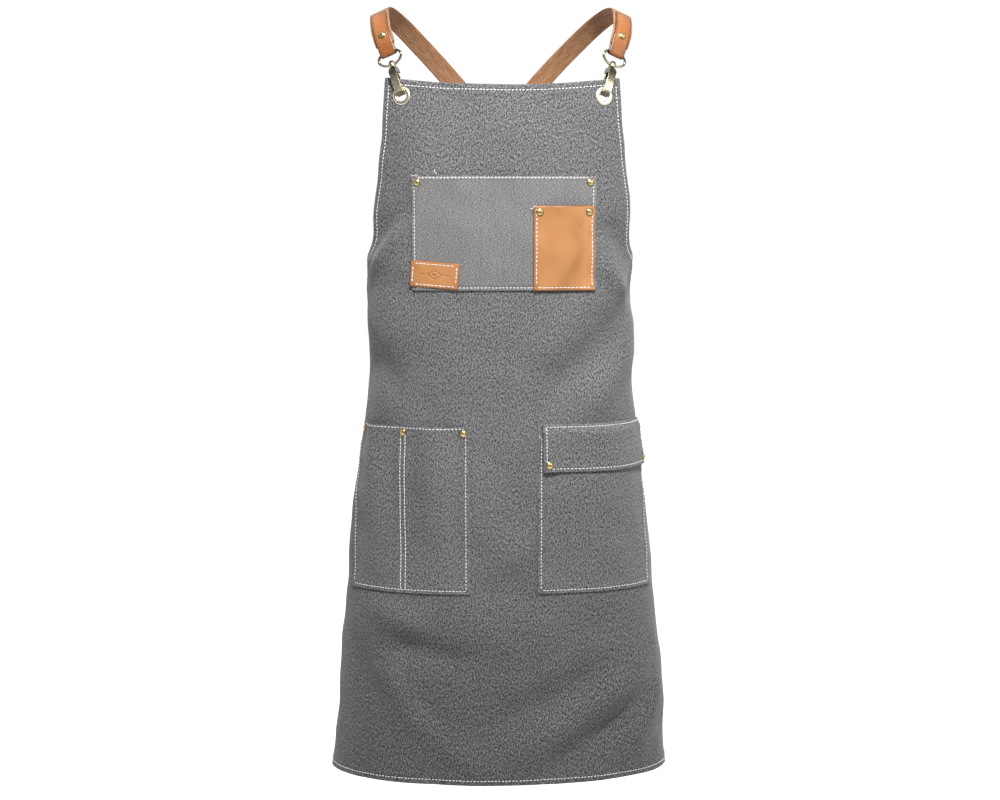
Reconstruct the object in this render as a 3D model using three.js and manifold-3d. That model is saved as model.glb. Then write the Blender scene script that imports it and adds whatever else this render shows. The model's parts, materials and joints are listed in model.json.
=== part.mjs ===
// Cross-back work apron in its worn shape: a denim panel with pockets, two webbing
// straps over the shoulders and four swivel snap hooks clipped into grommets.
// Millimetres. +Z is up, the front faces -Y, and "left" is the -X side.
// The origin lies midway between the two straps, under their highest points.

import * as THREE from "three";
import { mergeVertices } from "three/addons/utils/BufferGeometryUtils.js";
import Module from "manifold-3d";

const wasm = await Module();
wasm.setup();

// ---------------------------------------------------------------- driving dimensions

const GAP = 0.3; // between touching hard pieces
const SEAM_GAP = 0.55; // between layers of cloth, which are faceted on a curve

const clothThickness = 1.0;
const bibTopDrop = 83; // below the shoulders, at the bib's corners
const bibTopDip = 9; // how far the middle of the bib's top edge sags
const dipDepth = 110; // the sag fades out over this much of the bib
const apronLength = 859; // from the bib's corners to the hem
const bibHalfWidth = 145; // along the cloth
const skirtHalfWidth = 358; // along the cloth
const waistDrop = 395; // of the skirt's top corners, below the shoulders

const chestPocket = { left: -110.5, right: 112.5, top: -201, height: 136, gape: 8 };
const penPocket = { inset: 2, width: 75, height: 101, gape: 7.5 }; // on the chest pocket's right
const hipPocketInner = 42; // from the centre line
const hipPocketWidth = 164;
const hipPocketHeight = 203;
const hipPocketTop = -503;
const hipPocketGape = 9;
const dividerAt = 82; // from the left hip pocket's inner edge
const flapInset = 6; // of the flap's end from the pocket's inner edge
const flapOverhang = 2; // of its other end past the pocket's outer edge
const flapTop = -500;
const flapHeight = 57;
const flapStandoff = 2.4; // of the flap from the pocket below it
const pocketUnderFlap = 12; // from the flap's seam to the pocket's mouth
const patch = { width: 59, height: 31, thickness: 1.4, centreS: -83, centreZ: -318.5, turn: -4.3 };
const sewnMargin = 12; // of each pocket that lies flat beside its seam
const leatherThickness = 1.8;

const webbingWidth = 25;
const webbingThickness = 1.8;
const strapTailLength = 140;
const tabWidth = 20.5;
const tabFrontLength = 64; // of the tab's outer leaf, above the ring
const tabBackLength = 40; // of its inner leaf
const tabRivetAt = 23; // above the ring
const webbingStart = 11; // above the ring, between the leaves

const grommetInsetSide = 22.5; // from the cloth's side edge
const grommetInsetTop = 17; // from its top edge
const grommetBore = 6.4; // radius
const grommetWall = 0.6;
const grommetFlange = 11.1; // radius
const washerRadius = 10.6;
const washerThickness = 0.7;

const ringWire = 1.5; // radius
const ringHalfWidth = 15;
const ringDrop = 15.5; // from the bar to the hub
const hubRadius = 4.7;
const hubHalfHeight = 3.4;
const stemRadius = 1.8;
const hookWidth = 9.6;
const hookThickness = 1.9;
const hookBendRadius = 6.0; // inside
const hookReach = 47.5; // from the ring's bar to the centre of the bend
const hookTipRise = 3; // of the tip above the centre of the bend
const gateWidth = 5.8;
const gateThickness = 1.4;
const gatePinRadius = 1.0;
const grommetRest = 56; // from the ring's bar down to the grommet's centre
const clothInHook = -1.0; // of the cloth's mid-plane, from the hook's own axis

const rivetCapRadius = 4.4;
const rivetCapHeight = 2.1;
const rivetShankRadius = 1.4;
const rivetBurrRadius = 3.2;
const rivetBurrThickness = 0.7;
const rivetSeat = 0.25; // more room under the cap and the burr, where the cloth is curved

const adjusterWidth = 33;
const adjusterHeight = 19;
const adjusterWire = 2.2; // square section
const adjusterAt = 105; // above the rear ring

// The body that the cloth hangs on, as horizontal sections at each height. Power is the
// exponent of the super-ellipse: 2 is an ellipse, higher is squarer.
const hemZ = -(bibTopDrop + apronLength);
const FORM = [
  { z: -50, half: 165, front: -84, back: 111, power: 3.6 },
  { z: -83, half: 165, front: -91, back: 112, power: 3.5 },
  { z: -145, half: 165, front: -98.5, back: 113, power: 3.3 },
  { z: -225, half: 165, front: -101, back: 110, power: 3.0 },
  { z: -380, half: 165, front: -98.5, back: 99, power: 2.6 },
  { z: -429, half: 162, front: -98, back: 97, power: 2.5 },
  { z: -535, half: 173, front: -100, back: 101, power: 2.4 },
  { z: hemZ, half: 211, front: -113, back: 121, power: 2.2 },
];

// ---------------------------------------------------------------- materials

function finish(color, roughness, metalness = 0) {
  return new THREE.MeshStandardMaterial({ color, roughness, metalness });
}
const DENIM = finish(0x6c6d70, 0.95);
const POCKET_DENIM = finish(0x8a8a8c, 0.95);
const LEATHER = finish(0xc98a50, 0.55);
const TAB_LEATHER = finish(0xb0692f, 0.5);
const WEBBING = finish(0x96643f, 0.9);
const PALE_BRASS = finish(0xd8c79a, 0.25, 1);
const ANTIQUE_BRASS = finish(0x8a7a55, 0.35, 1);
const SPRING_STEEL = finish(0xb0b0b0, 0.3, 1);

const apron = new THREE.Group();

// ---------------------------------------------------------------- solids

function solidOf(geometry) {
  const bare = geometry.clone();
  bare.deleteAttribute("normal");
  bare.deleteAttribute("uv");
  const merged = mergeVertices(bare, 1e-4);
  return new wasm.Manifold(
    new wasm.Mesh({
      numProp: 3,
      vertProperties: new Float32Array(merged.attributes.position.array),
      triVerts: new Uint32Array(merged.index.array),
    }),
  );
}

function geometryOf(solid) {
  const mesh = solid.getMesh();
  const geometry = new THREE.BufferGeometry();
  geometry.setAttribute("position", new THREE.BufferAttribute(mesh.vertProperties, 3));
  geometry.setIndex(new THREE.BufferAttribute(mesh.triVerts, 1));
  return geometry;
}

function addMesh(parent, name, geometry, material) {
  const mesh = new THREE.Mesh(geometry, material);
  mesh.name = name;
  parent.add(mesh);
  return mesh;
}

// A closed slab between two grids of points, outer[row][column] and inner[row][column].
function slab(outer, inner) {
  const rows = outer.length;
  const columns = outer[0].length;
  const positions = [];
  for (const face of [outer, inner]) {
    for (const row of face) {
      for (const p of row) positions.push(p.x, p.y, p.z);
    }
  }
  const at = (face, r, c) => face * rows * columns + r * columns + c;
  const index = [];
  const quad = (a, b, c, d) => index.push(a, b, c, a, c, d);
  for (let r = 0; r + 1 < rows; r++) {
    for (let c = 0; c + 1 < columns; c++) {
      quad(at(0, r, c), at(0, r + 1, c), at(0, r + 1, c + 1), at(0, r, c + 1));
      quad(at(1, r, c), at(1, r, c + 1), at(1, r + 1, c + 1), at(1, r + 1, c));
    }
    const end = columns - 1;
    quad(at(0, r, 0), at(1, r, 0), at(1, r + 1, 0), at(0, r + 1, 0));
    quad(at(0, r, end), at(0, r + 1, end), at(1, r + 1, end), at(1, r, end));
  }
  for (let c = 0; c + 1 < columns; c++) {
    const end = rows - 1;
    quad(at(0, 0, c), at(0, 0, c + 1), at(1, 0, c + 1), at(1, 0, c));
    quad(at(0, end, c), at(1, end, c), at(1, end, c + 1), at(0, end, c + 1));
  }
  if (enclosedVolume(positions, index) < 0) index.reverse();
  const geometry = new THREE.BufferGeometry();
  geometry.setAttribute("position", new THREE.Float32BufferAttribute(positions, 3));
  geometry.setIndex(index);
  return geometry;
}

// Negative where the faces point inwards.
function enclosedVolume(positions, index) {
  const corner = (i) => new THREE.Vector3().fromArray(positions, 3 * index[i]);
  let volume = 0;
  for (let i = 0; i < index.length; i += 3) {
    volume += corner(i).dot(corner(i + 1).cross(corner(i + 2))) / 6;
  }
  return volume;
}

// A straight round bar along the Y axis, from low to high.
function barAlongY(radius, low, high, sides = 12) {
  return new THREE.CylinderGeometry(radius, radius, high - low, sides).translate(0, (low + high) / 2, 0);
}

const Y_AXIS = new THREE.Vector3(0, 1, 0);

// Where a piece sits: at a point, with its own Y axis along a direction.
function standing(point, direction) {
  const turn = new THREE.Quaternion().setFromUnitVectors(Y_AXIS, direction);
  return new THREE.Matrix4().compose(point, turn, new THREE.Vector3(1, 1, 1));
}

// ---------------------------------------------------------------- the worn form

function smoothBetween(list, z, key) {
  const last = list.length - 1;
  const inside = THREE.MathUtils.clamp(z, list[last].z, list[0].z);
  let i = 0;
  while (i < last - 1 && inside < list[i + 1].z) i++;
  const slope = (j) => {
    const a = list[Math.max(j - 1, 0)];
    const b = list[Math.min(j + 1, last)];
    return (b[key] - a[key]) / (b.z - a.z);
  };
  const span = list[i + 1].z - list[i].z;
  const t = (inside - list[i].z) / span;
  const t2 = t * t;
  const t3 = t2 * t;
  return (
    (2 * t3 - 3 * t2 + 1) * list[i][key] +
    (t3 - 2 * t2 + t) * span * slope(i) +
    (3 * t2 - 2 * t3) * list[i + 1][key] +
    (t3 - t2) * span * slope(i + 1)
  );
}

const SECTION_STEPS = 720;
const sections = new Map();

// Half of the section at one height, from the centre front to the centre back, with the
// length of cloth from the centre front to each point.
function sectionAt(z) {
  const key = z.toFixed(3);
  if (sections.has(key)) return sections.get(key);
  const [half, front, back, power] = ["half", "front", "back", "power"].map((name) => smoothBetween(FORM, z, name));
  const centre = (front + back) / 2;
  const depth = (back - front) / 2;
  const rounded = (value) => Math.sign(value) * Math.abs(value) ** (2 / power);
  const points = [];
  let length = 0;
  for (let i = 0; i <= SECTION_STEPS; i++) {
    const angle = (Math.PI * i) / SECTION_STEPS;
    const x = half * rounded(Math.sin(angle));
    const y = centre - depth * rounded(Math.cos(angle));
    const before = points[i - 1];
    if (before) length += Math.hypot(x - before.x, y - before.y);
    points.push({ x, y, length });
  }
  sections.set(key, points);
  return points;
}

// The form's surface at s along the cloth from the centre front, and height z.
function formPoint(s, z) {
  const points = sectionAt(z);
  const want = Math.abs(s);
  let low = 0;
  let high = points.length - 1;
  while (high - low > 1) {
    const middle = (low + high) >> 1;
    if (points[middle].length < want) low = middle;
    else high = middle;
  }
  const a = points[low];
  const b = points[high];
  const t = (want - a.length) / (b.length - a.length);
  const x = a.x + (b.x - a.x) * t;
  return new THREE.Vector3(s < 0 ? -x : x, a.y + (b.y - a.y) * t, z);
}

function formNormal(s, z) {
  const across = formPoint(s + 2, z).sub(formPoint(s - 2, z));
  const up = formPoint(s, z + 2).sub(formPoint(s, z - 2));
  return across.cross(up).normalize();
}

// A point of cloth lifted off the form.
function clothPoint(s, z, lift) {
  return formPoint(s, z).addScaledVector(formNormal(s, z), lift);
}

const between = (a, b, t) => a + (b - a) * t;
const steps = (count) => Array.from({ length: count + 1 }, (_, i) => i / count);

// A layer of cloth or leather on the form. place(u, v) gives s, z and the lift of its inner
// face, with u from 0 to 1 across and v from 0 to 1 downwards.
function layer(us, vs, thickness, place) {
  const outer = [];
  const inner = [];
  for (const v of vs) {
    const spots = us.map((u) => place(u, v));
    inner.push(spots.map(({ s, z, lift }) => clothPoint(s, z, lift)));
    outer.push(spots.map(({ s, z, lift }) => clothPoint(s, z, lift + thickness)));
  }
  return slab(outer, inner);
}

// ---------------------------------------------------------------- rivets and grommets

// A turned piece: its profile's (radius, y) points rise on the outside.
function turned(profile, segments) {
  return new THREE.LatheGeometry(profile.map(([r, y]) => new THREE.Vector2(r, y)), segments);
}

// A domed rivet through a stack of layers whose outermost face is at y = 0.
function rivetGeometry(stack) {
  const back = -stack - GAP - rivetSeat;
  const profile = [
    [0, rivetCapHeight],
    [rivetCapRadius * 0.55, rivetCapHeight * 0.88],
    [rivetCapRadius * 0.9, rivetCapHeight * 0.5],
    [rivetCapRadius, GAP],
    [rivetShankRadius, GAP],
    [rivetShankRadius, back],
    [rivetBurrRadius, back],
    [rivetBurrRadius, back - rivetBurrThickness],
    [0, back - rivetBurrThickness],
  ];
  return turned(profile.reverse(), 8);
}

const HOLE_REACH = 14;

function boreAt(matrix, radius) {
  return solidOf(barAlongY(radius, -HOLE_REACH, HOLE_REACH, radius > 4 ? 14 : 6).applyMatrix4(matrix));
}

// Sets a rivet at a place, and gives the tool that bores its hole.
function addRivet(name, matrix, stack) {
  const mesh = addMesh(apron, name, rivetGeometry(stack), ANTIQUE_BRASS);
  mesh.applyMatrix4(matrix);
  return boreAt(matrix, rivetShankRadius + GAP);
}

const bored = (geometry, tools) => geometryOf(tools.reduce((solid, tool) => solid.subtract(tool), solidOf(geometry)));

// How far the grommet's flat rings stand off the curved cloth, in front and behind.
const flangeStandoff = 0.5;
const washerStandoff = 1.0;
const grommetOuter = grommetBore + grommetWall;

function eyeletGeometry() {
  const washerBack = -clothThickness - washerStandoff - washerThickness;
  const rollFront = washerBack - GAP;
  const profile = [
    [grommetOuter, flangeStandoff],
    [grommetFlange, flangeStandoff],
    [grommetFlange, flangeStandoff + 0.5],
    [grommetFlange - 1.8, flangeStandoff + 1.2],
    [grommetBore + 0.8, flangeStandoff + 1.1],
    [grommetBore, flangeStandoff + 0.4],
    [grommetBore, rollFront - 0.1],
    [grommetOuter + 0.3, rollFront - 0.7],
    [grommetOuter + 1.4, rollFront - 0.5],
    [grommetOuter + 1.4, rollFront],
    [grommetOuter, rollFront],
    [grommetOuter, flangeStandoff],
  ];
  return turned(profile, 14);
}

function washerGeometry() {
  const front = -clothThickness - washerStandoff;
  const back = front - washerThickness;
  const bore = grommetOuter + GAP;
  const profile = [[bore, back], [washerRadius, back], [washerRadius, front], [bore, front], [bore, back]];
  return turned(profile, 14);
}

// Sets a grommet into the panel at (s, z), and gives the tool that bores its hole.
function addGrommet(place, s, z) {
  const matrix = standing(formPoint(s, z), formNormal(s, z));
  addMesh(apron, place + "_grommet_eyelet", eyeletGeometry(), PALE_BRASS).applyMatrix4(matrix);
  addMesh(apron, place + "_grommet_washer", washerGeometry(), PALE_BRASS).applyMatrix4(matrix);
  return boreAt(matrix, grommetOuter + GAP);
}

// ---------------------------------------------------------------- the front panel

// The panel's side edge in the cloth: down the bib, round the armhole and out to the waist.
const sideEdge = new THREE.SplineCurve([
  new THREE.Vector2(bibHalfWidth, -bibTopDrop),
  new THREE.Vector2(bibHalfWidth + 8, -155),
  new THREE.Vector2(bibHalfWidth + 23, -235),
  new THREE.Vector2(bibHalfWidth + 35, -283),
  new THREE.Vector2(between(bibHalfWidth, skirtHalfWidth, 0.38), -315),
  new THREE.Vector2(skirtHalfWidth, -waistDrop),
]);

function panelHalfWidth(z) {
  if (z <= -waistDrop) return skirtHalfWidth;
  let low = 0;
  let high = 1;
  for (let i = 0; i < 40; i++) {
    const middle = (low + high) / 2;
    if (sideEdge.getPoint(middle).y > z) low = middle;
    else high = middle;
  }
  return sideEdge.getPoint(low).x;
}

// The top edge's sag, which fades out towards the armholes.
function sagAt(share, z) {
  const fade = THREE.MathUtils.clamp(1 + (z + bibTopDrop) / dipDepth, 0, 1);
  return bibTopDip * (1 - share * share) * fade * fade;
}

const hipZ = FORM[FORM.length - 2].z;
const panelRows = [
  ...steps(6).map((t) => between(-bibTopDrop, -275, t)),
  ...steps(6).map((t) => between(-275, -waistDrop, t)).slice(1),
  ...steps(6).map((t) => between(-waistDrop, hipZ, t)).slice(1),
  ...steps(6).map((t) => between(hipZ, hemZ, t)).slice(1),
];

// Columns are closer where the cloth turns round the sides.
const panelColumns = [];
for (const t of steps(4)) panelColumns.push(between(0, 0.31, t));
for (const t of steps(12).slice(1)) panelColumns.push(between(0.31, 0.78, t));
for (const t of steps(4).slice(1)) panelColumns.push(between(0.78, 1, t));
const panelShares = [...panelColumns.slice(1).reverse().map((share) => -share), ...panelColumns];

function panelGeometry() {
  const rowOf = steps(panelRows.length - 1);
  const columnOf = steps(panelShares.length - 1);
  return layer(columnOf, rowOf, clothThickness, (u, v) => {
    const row = panelRows[Math.round(v * (panelRows.length - 1))];
    const share = panelShares[Math.round(u * (panelShares.length - 1))];
    return { s: share * panelHalfWidth(row), z: row - sagAt(share, row), lift: -clothThickness };
  });
}

// ---------------------------------------------------------------- pockets

// How far a patch pocket stands off where it isn't sewn: most in the middle of its mouth,
// nothing along its bottom and in a margin by each side. across is the distance from one side.
function gapeAt(across, width, v, gape) {
  const u = (across - sewnMargin) / (width - 2 * sewnMargin);
  if (u <= 0 || u >= 1 || v >= 1) return 0;
  return gape * Math.sin(Math.PI * u) ** 1.5 * (1 - Math.max(v, 0) ** 2.4);
}

const chestWidth = chestPocket.right - chestPocket.left;

function chestLift(s, z) {
  const v = (chestPocket.top - z) / chestPocket.height;
  return SEAM_GAP + gapeAt(s - chestPocket.left, chestWidth, v, chestPocket.gape);
}

const onChest = (s, z) => chestLift(s, z) + clothThickness;

const penRight = chestPocket.right - penPocket.inset;
const penLeft = penRight - penPocket.width;
const penBottom = chestPocket.top - chestPocket.height;
const penTop = penBottom + penPocket.height;

function penLift(s, z) {
  const v = (penTop - z) / penPocket.height;
  return onChest(s, z) + SEAM_GAP + gapeAt(s - penLeft, penPocket.width, v, penPocket.gape);
}

const hipPocketOuter = hipPocketInner + hipPocketWidth;
const hipPocketBottom = hipPocketTop - hipPocketHeight;
const rightPocketTop = flapTop - pocketUnderFlap;

function leftHipLift(s, z) {
  const across = -s - hipPocketInner;
  const v = (hipPocketTop - z) / hipPocketHeight;
  const inner = gapeAt(across, dividerAt, v, hipPocketGape);
  const outer = gapeAt(across - dividerAt, hipPocketWidth - dividerAt, v, hipPocketGape);
  return SEAM_GAP + inner + outer;
}

function rightHipLift(s, z) {
  const v = (rightPocketTop - z) / (rightPocketTop - hipPocketBottom);
  return SEAM_GAP + gapeAt(s - hipPocketInner, hipPocketWidth, v, hipPocketGape);
}

// The flap leaves the panel at its seam and lies over the pocket's mouth.
function flapLift(s, z) {
  const down = (flapTop - z) / pocketUnderFlap;
  const over = THREE.MathUtils.smoothstep(down, 0, 0.85);
  const pocketOuter = rightHipLift(s, z) + clothThickness + flapStandoff;
  return between(SEAM_GAP, pocketOuter, over);
}

function pocketLayer(left, right, top, bottom, thickness, lift, columns, rows) {
  return layer(columns, rows, thickness, (u, v) => {
    const s = between(left, right, u);
    const z = between(top, bottom, v);
    return { s, z, lift: lift(s, z) };
  });
}

// A rivet's seat on the outer face of a lifted layer, square to that face.
function onLayer(s, z, lift, thickness) {
  const reach = 3;
  const at = (ds, dz) => clothPoint(s + ds, z + dz, lift(s + ds, z + dz));
  const across = at(reach, 0).sub(at(-reach, 0));
  const up = at(0, reach).sub(at(0, -reach));
  const outward = across.cross(up).normalize();
  return standing(at(0, 0).addScaledVector(outward, thickness + rivetSeat), outward);
}

const panelTools = [];
const cornerInset = 7;

// Chest pocket, its rivets and the leather pen pocket on it.
const chestTools = [];
for (const [side, s] of [["left", chestPocket.left + cornerInset], ["right", chestPocket.right - cornerInset]]) {
  const z = chestPocket.top - cornerInset;
  const matrix = onLayer(s, z, chestLift, clothThickness);
  const stack = chestLift(s, z) + 2 * clothThickness + rivetSeat;
  const tool = addRivet("chest_pocket_rivet_" + side, matrix, stack);
  chestTools.push(tool);
  panelTools.push(tool);
}
const penTools = [];
for (const [side, s] of [["left", penLeft + cornerInset], ["right", penRight - cornerInset]]) {
  const z = penTop - cornerInset;
  const matrix = onLayer(s, z, penLift, leatherThickness);
  const throughPanel = chestLift(s, z) < 2 * SEAM_GAP + rivetBurrThickness + GAP;
  const innerFace = throughPanel ? -clothThickness : chestLift(s, z);
  const stack = penLift(s, z) + leatherThickness + 3 * rivetSeat - innerFace;
  const tool = addRivet("pen_pocket_rivet_" + side, matrix, stack);
  penTools.push(tool);
  chestTools.push(tool);
  if (throughPanel) panelTools.push(tool);
}
addMesh(
  apron,
  "chest_pocket",
  bored(
    pocketLayer(
      chestPocket.left,
      chestPocket.right,
      chestPocket.top,
      chestPocket.top - chestPocket.height,
      clothThickness,
      chestLift,
      steps(15),
      steps(7),
    ),
    chestTools,
  ),
  POCKET_DENIM,
);
addMesh(
  apron,
  "pen_pocket",
  bored(pocketLayer(penLeft, penRight, penTop, penBottom, leatherThickness, penLift, steps(7), steps(6)), penTools),
  LEATHER,
);

// Leather patch, sewn on slightly askew over the chest pocket's lower corner.
function patchGeometry() {
  const turn = THREE.MathUtils.degToRad(patch.turn);
  return layer(steps(5), steps(3), patch.thickness, (u, v) => {
    const across = (u - 0.5) * patch.width;
    const up = (0.5 - v) * patch.height;
    const s = patch.centreS + across * Math.cos(turn) - up * Math.sin(turn);
    const z = patch.centreZ + across * Math.sin(turn) + up * Math.cos(turn);
    return { s, z, lift: onChest(s, z) + SEAM_GAP };
  });
}
addMesh(apron, "leather_patch", patchGeometry(), LEATHER);

// Left hip pocket: two compartments, a rivet at each end of each mouth.
const leftHipTools = [];
const leftHipRivets = [
  ["inner", hipPocketInner + cornerInset],
  ["middle", hipPocketInner + dividerAt],
  ["outer", hipPocketOuter - cornerInset],
];
for (const [place, across] of leftHipRivets) {
  const z = hipPocketTop - cornerInset;
  const matrix = onLayer(-across, z, leftHipLift, clothThickness);
  const stack = leftHipLift(-across, z) + 2 * clothThickness + rivetSeat;
  const tool = addRivet("left_hip_rivet_" + place, matrix, stack);
  leftHipTools.push(tool);
  panelTools.push(tool);
}
const dividerShare = 1 - dividerAt / hipPocketWidth;
const leftHipColumns = [
  ...steps(7).map((t) => t * dividerShare),
  ...steps(7).slice(1).map((t) => between(dividerShare, 1, t)),
];
addMesh(
  apron,
  "left_hip_pocket",
  bored(
    pocketLayer(
      -hipPocketOuter,
      -hipPocketInner,
      hipPocketTop,
      hipPocketBottom,
      clothThickness,
      leftHipLift,
      leftHipColumns,
      steps(7),
    ),
    leftHipTools,
  ),
  DENIM,
);

// Right hip pocket and the flap that hangs over its mouth.
addMesh(
  apron,
  "right_hip_pocket",
  pocketLayer(
    hipPocketInner,
    hipPocketOuter,
    rightPocketTop,
    hipPocketBottom,
    clothThickness,
    rightHipLift,
    steps(14),
    steps(7),
  ),
  DENIM,
);
const flapInner = hipPocketInner + flapInset;
const flapOuter = hipPocketOuter + flapOverhang;
const flapTools = [];
for (const [place, s] of [["inner", flapInner + cornerInset], ["outer", flapOuter - cornerInset]]) {
  const z = flapTop - flapHeight + cornerInset + 1;
  const matrix = onLayer(s, z, flapLift, clothThickness);
  flapTools.push(addRivet("flap_rivet_" + place, matrix, clothThickness + rivetSeat));
}
addMesh(
  apron,
  "pocket_flap",
  bored(
    pocketLayer(
      flapInner,
      flapOuter,
      flapTop,
      flapTop - flapHeight,
      clothThickness,
      flapLift,
      steps(14),
      [0, 0.06, 0.12, 0.18, 0.3, 0.55, 0.8, 1],
    ),
    flapTools,
  ),
  DENIM,
);

// ---------------------------------------------------------------- snap hooks

const Z_AXIS = new THREE.Vector3(0, 0, 1);
const STAND_Z = new THREE.Matrix4().makeRotationX(Math.PI / 2); // turns Y to Z
const SIDE_PROFILE = new THREE.Matrix4().makeBasis(
  new THREE.Vector3(0, 1, 0),
  new THREE.Vector3(0, 0, 1),
  new THREE.Vector3(1, 0, 0),
); // draws a shape in the (y, z) plane and extrudes it along X

function sideExtrusion(shape, low, high, curveSegments = 5) {
  const geometry = new THREE.ExtrudeGeometry(shape, { depth: high - low, bevelEnabled: false, curveSegments });
  return geometry.translate(0, 0, low).applyMatrix4(SIDE_PROFILE);
}

// The oval ring that the strap folds round, with a hub for the hook's stem.
function swivelEyeGeometry(bandWidth) {
  const straight = bandWidth / 2 + 0.9;
  const halfLoop = [
    [straight / 2, 0],
    [straight, 0],
    [ringHalfWidth - 0.9, -ringDrop * 0.19],
    [ringHalfWidth - 0.1, -ringDrop * 0.46],
    [ringHalfWidth * 0.76, -ringDrop * 0.76],
    [ringHalfWidth * 0.36, -ringDrop * 0.96],
  ];
  const right = halfLoop.map(([x, z]) => new THREE.Vector3(x, 0, z));
  const left = halfLoop.map(([x, z]) => new THREE.Vector3(-x, 0, z)).reverse();
  const path = new THREE.CatmullRomCurve3([...right, new THREE.Vector3(0, 0, -ringDrop), ...left], true);
  const ring = solidOf(new THREE.TubeGeometry(path, 22, ringWire, 5, true));
  const hubProfile = [
    [0, -hubHalfHeight],
    [hubRadius * 0.76, -hubHalfHeight],
    [hubRadius, -hubHalfHeight * 0.35],
    [hubRadius, hubHalfHeight * 0.35],
    [hubRadius * 0.76, hubHalfHeight],
    [0, hubHalfHeight],
  ];
  const hub = turned(hubProfile, 10);
  const bore = barAlongY(stemRadius + GAP, -2 * hubHalfHeight, 2 * hubHalfHeight, 12);
  const down = new THREE.Matrix4().makeTranslation(0, 0, -ringDrop);
  const place = down.multiply(STAND_Z);
  return geometryOf(ring.add(solidOf(hub.applyMatrix4(place))).subtract(solidOf(bore.applyMatrix4(place))));
}

const hubBottom = -ringDrop - hubHalfHeight;
const hubTop = -ringDrop + hubHalfHeight;
const headTop = hubBottom - GAP;
const hookOuter = hookBendRadius + hookThickness;
const headBottom = headTop - 7.6;
const gatePinY = hookBendRadius - 1.0;
const gatePinZ = headTop - 4.3;
const knuckleRadius = 2.1;
const slotHalfWidth = gateWidth / 2 + GAP + 0.1;

// The stem with its riveted head, the block that carries the gate, the flat shank and the bend.
function hookBodyGeometry() {
  const shape = new THREE.Shape();
  shape.moveTo(-3.2, headTop);
  shape.lineTo(-hookOuter, headTop - 5);
  shape.lineTo(-hookOuter, -hookReach);
  shape.absarc(0, -hookReach, hookOuter, Math.PI, 2 * Math.PI, false);
  shape.lineTo(hookOuter, -hookReach + hookTipRise);
  shape.lineTo(hookBendRadius, -hookReach + hookTipRise);
  shape.lineTo(hookBendRadius, -hookReach);
  shape.absarc(0, -hookReach, hookBendRadius, 2 * Math.PI, Math.PI, true);
  shape.lineTo(-hookBendRadius, headBottom - 2);
  shape.lineTo(-hookBendRadius + 2, headBottom);
  shape.lineTo(gatePinY + 1, headBottom);
  shape.lineTo(gatePinY + knuckleRadius, headBottom + 1.4);
  shape.lineTo(gatePinY + knuckleRadius, headTop - 1.6);
  shape.lineTo(3.2, headTop);
  const body = solidOf(sideExtrusion(shape, -hookWidth / 2, hookWidth / 2));
  const stem = barAlongY(stemRadius, headTop - 0.5, hubTop + GAP + 0.5, 12).applyMatrix4(STAND_Z);
  const headProfile = [[0, 0], [hubRadius * 0.68, 0], [hubRadius * 0.6, 1.1], [hubRadius * 0.3, 2], [0, 2.2]];
  const head = turned(headProfile, 8);
  head.applyMatrix4(STAND_Z).translate(0, 0, hubTop + GAP);
  const slotLow = headBottom - 1;
  const slotHigh = headTop - 1.7;
  const slotFront = gatePinY - knuckleRadius - GAP;
  const slot = new THREE.BoxGeometry(2 * slotHalfWidth, 8, slotHigh - slotLow);
  slot.translate(0, slotFront + 4, (slotHigh + slotLow) / 2);
  const bore = new THREE.CylinderGeometry(gatePinRadius + GAP, gatePinRadius + GAP, 2 * hookWidth, 12);
  bore.rotateZ(Math.PI / 2).translate(0, gatePinY, gatePinZ);
  const whole = body.add(solidOf(stem)).add(solidOf(head));
  return geometryOf(whole.subtract(solidOf(slot)).subtract(solidOf(bore)));
}

const springShare = 0.44; // of the gate's width that its spring takes on the pin

// The sprung gate that closes the hook from behind, with a thumb piece.
function gateGeometry() {
  const outerFace = hookBendRadius - GAP - 0.1;
  const innerFace = outerFace - gateThickness;
  const tip = -hookReach + hookTipRise - 1.8;
  const blade = new THREE.Shape();
  blade.moveTo(innerFace, gatePinZ - 1.4);
  blade.lineTo(innerFace, tip);
  blade.lineTo(outerFace, tip);
  blade.lineTo(outerFace, headBottom - 6);
  blade.lineTo(outerFace + 2.2, headBottom - 4);
  blade.lineTo(outerFace + 1.6, headBottom - 2.4);
  blade.lineTo(outerFace, headBottom - 2.6);
  blade.lineTo(outerFace, gatePinZ - 1.4);
  const bladeSolid = solidOf(sideExtrusion(blade, -gateWidth / 2, gateWidth / 2));
  const knuckleEnd = gateWidth / 2 - gateWidth * springShare;
  const along = (geometry, low, high) => geometry.rotateZ(Math.PI / 2).translate((low + high) / 2, gatePinY, gatePinZ);
  const knuckleLength = knuckleEnd + gateWidth / 2;
  const knuckle = along(
    new THREE.CylinderGeometry(knuckleRadius, knuckleRadius, knuckleLength, 14),
    -gateWidth / 2,
    knuckleEnd,
  );
  const clearance = new THREE.CylinderGeometry(knuckleRadius + GAP, knuckleRadius + GAP, gateWidth, 14);
  const room = along(clearance, knuckleEnd, knuckleEnd + gateWidth);
  const bore = along(
    new THREE.CylinderGeometry(gatePinRadius + GAP, gatePinRadius + GAP, 2 * gateWidth, 12),
    -gateWidth,
    gateWidth,
  );
  return geometryOf(bladeSolid.subtract(solidOf(room)).add(solidOf(knuckle)).subtract(solidOf(bore)));
}

function gatePinGeometry() {
  const pin = new THREE.CylinderGeometry(gatePinRadius, gatePinRadius, hookWidth + 0.8, 10);
  return pin.rotateZ(Math.PI / 2).translate(0, gatePinY, gatePinZ);
}

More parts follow.
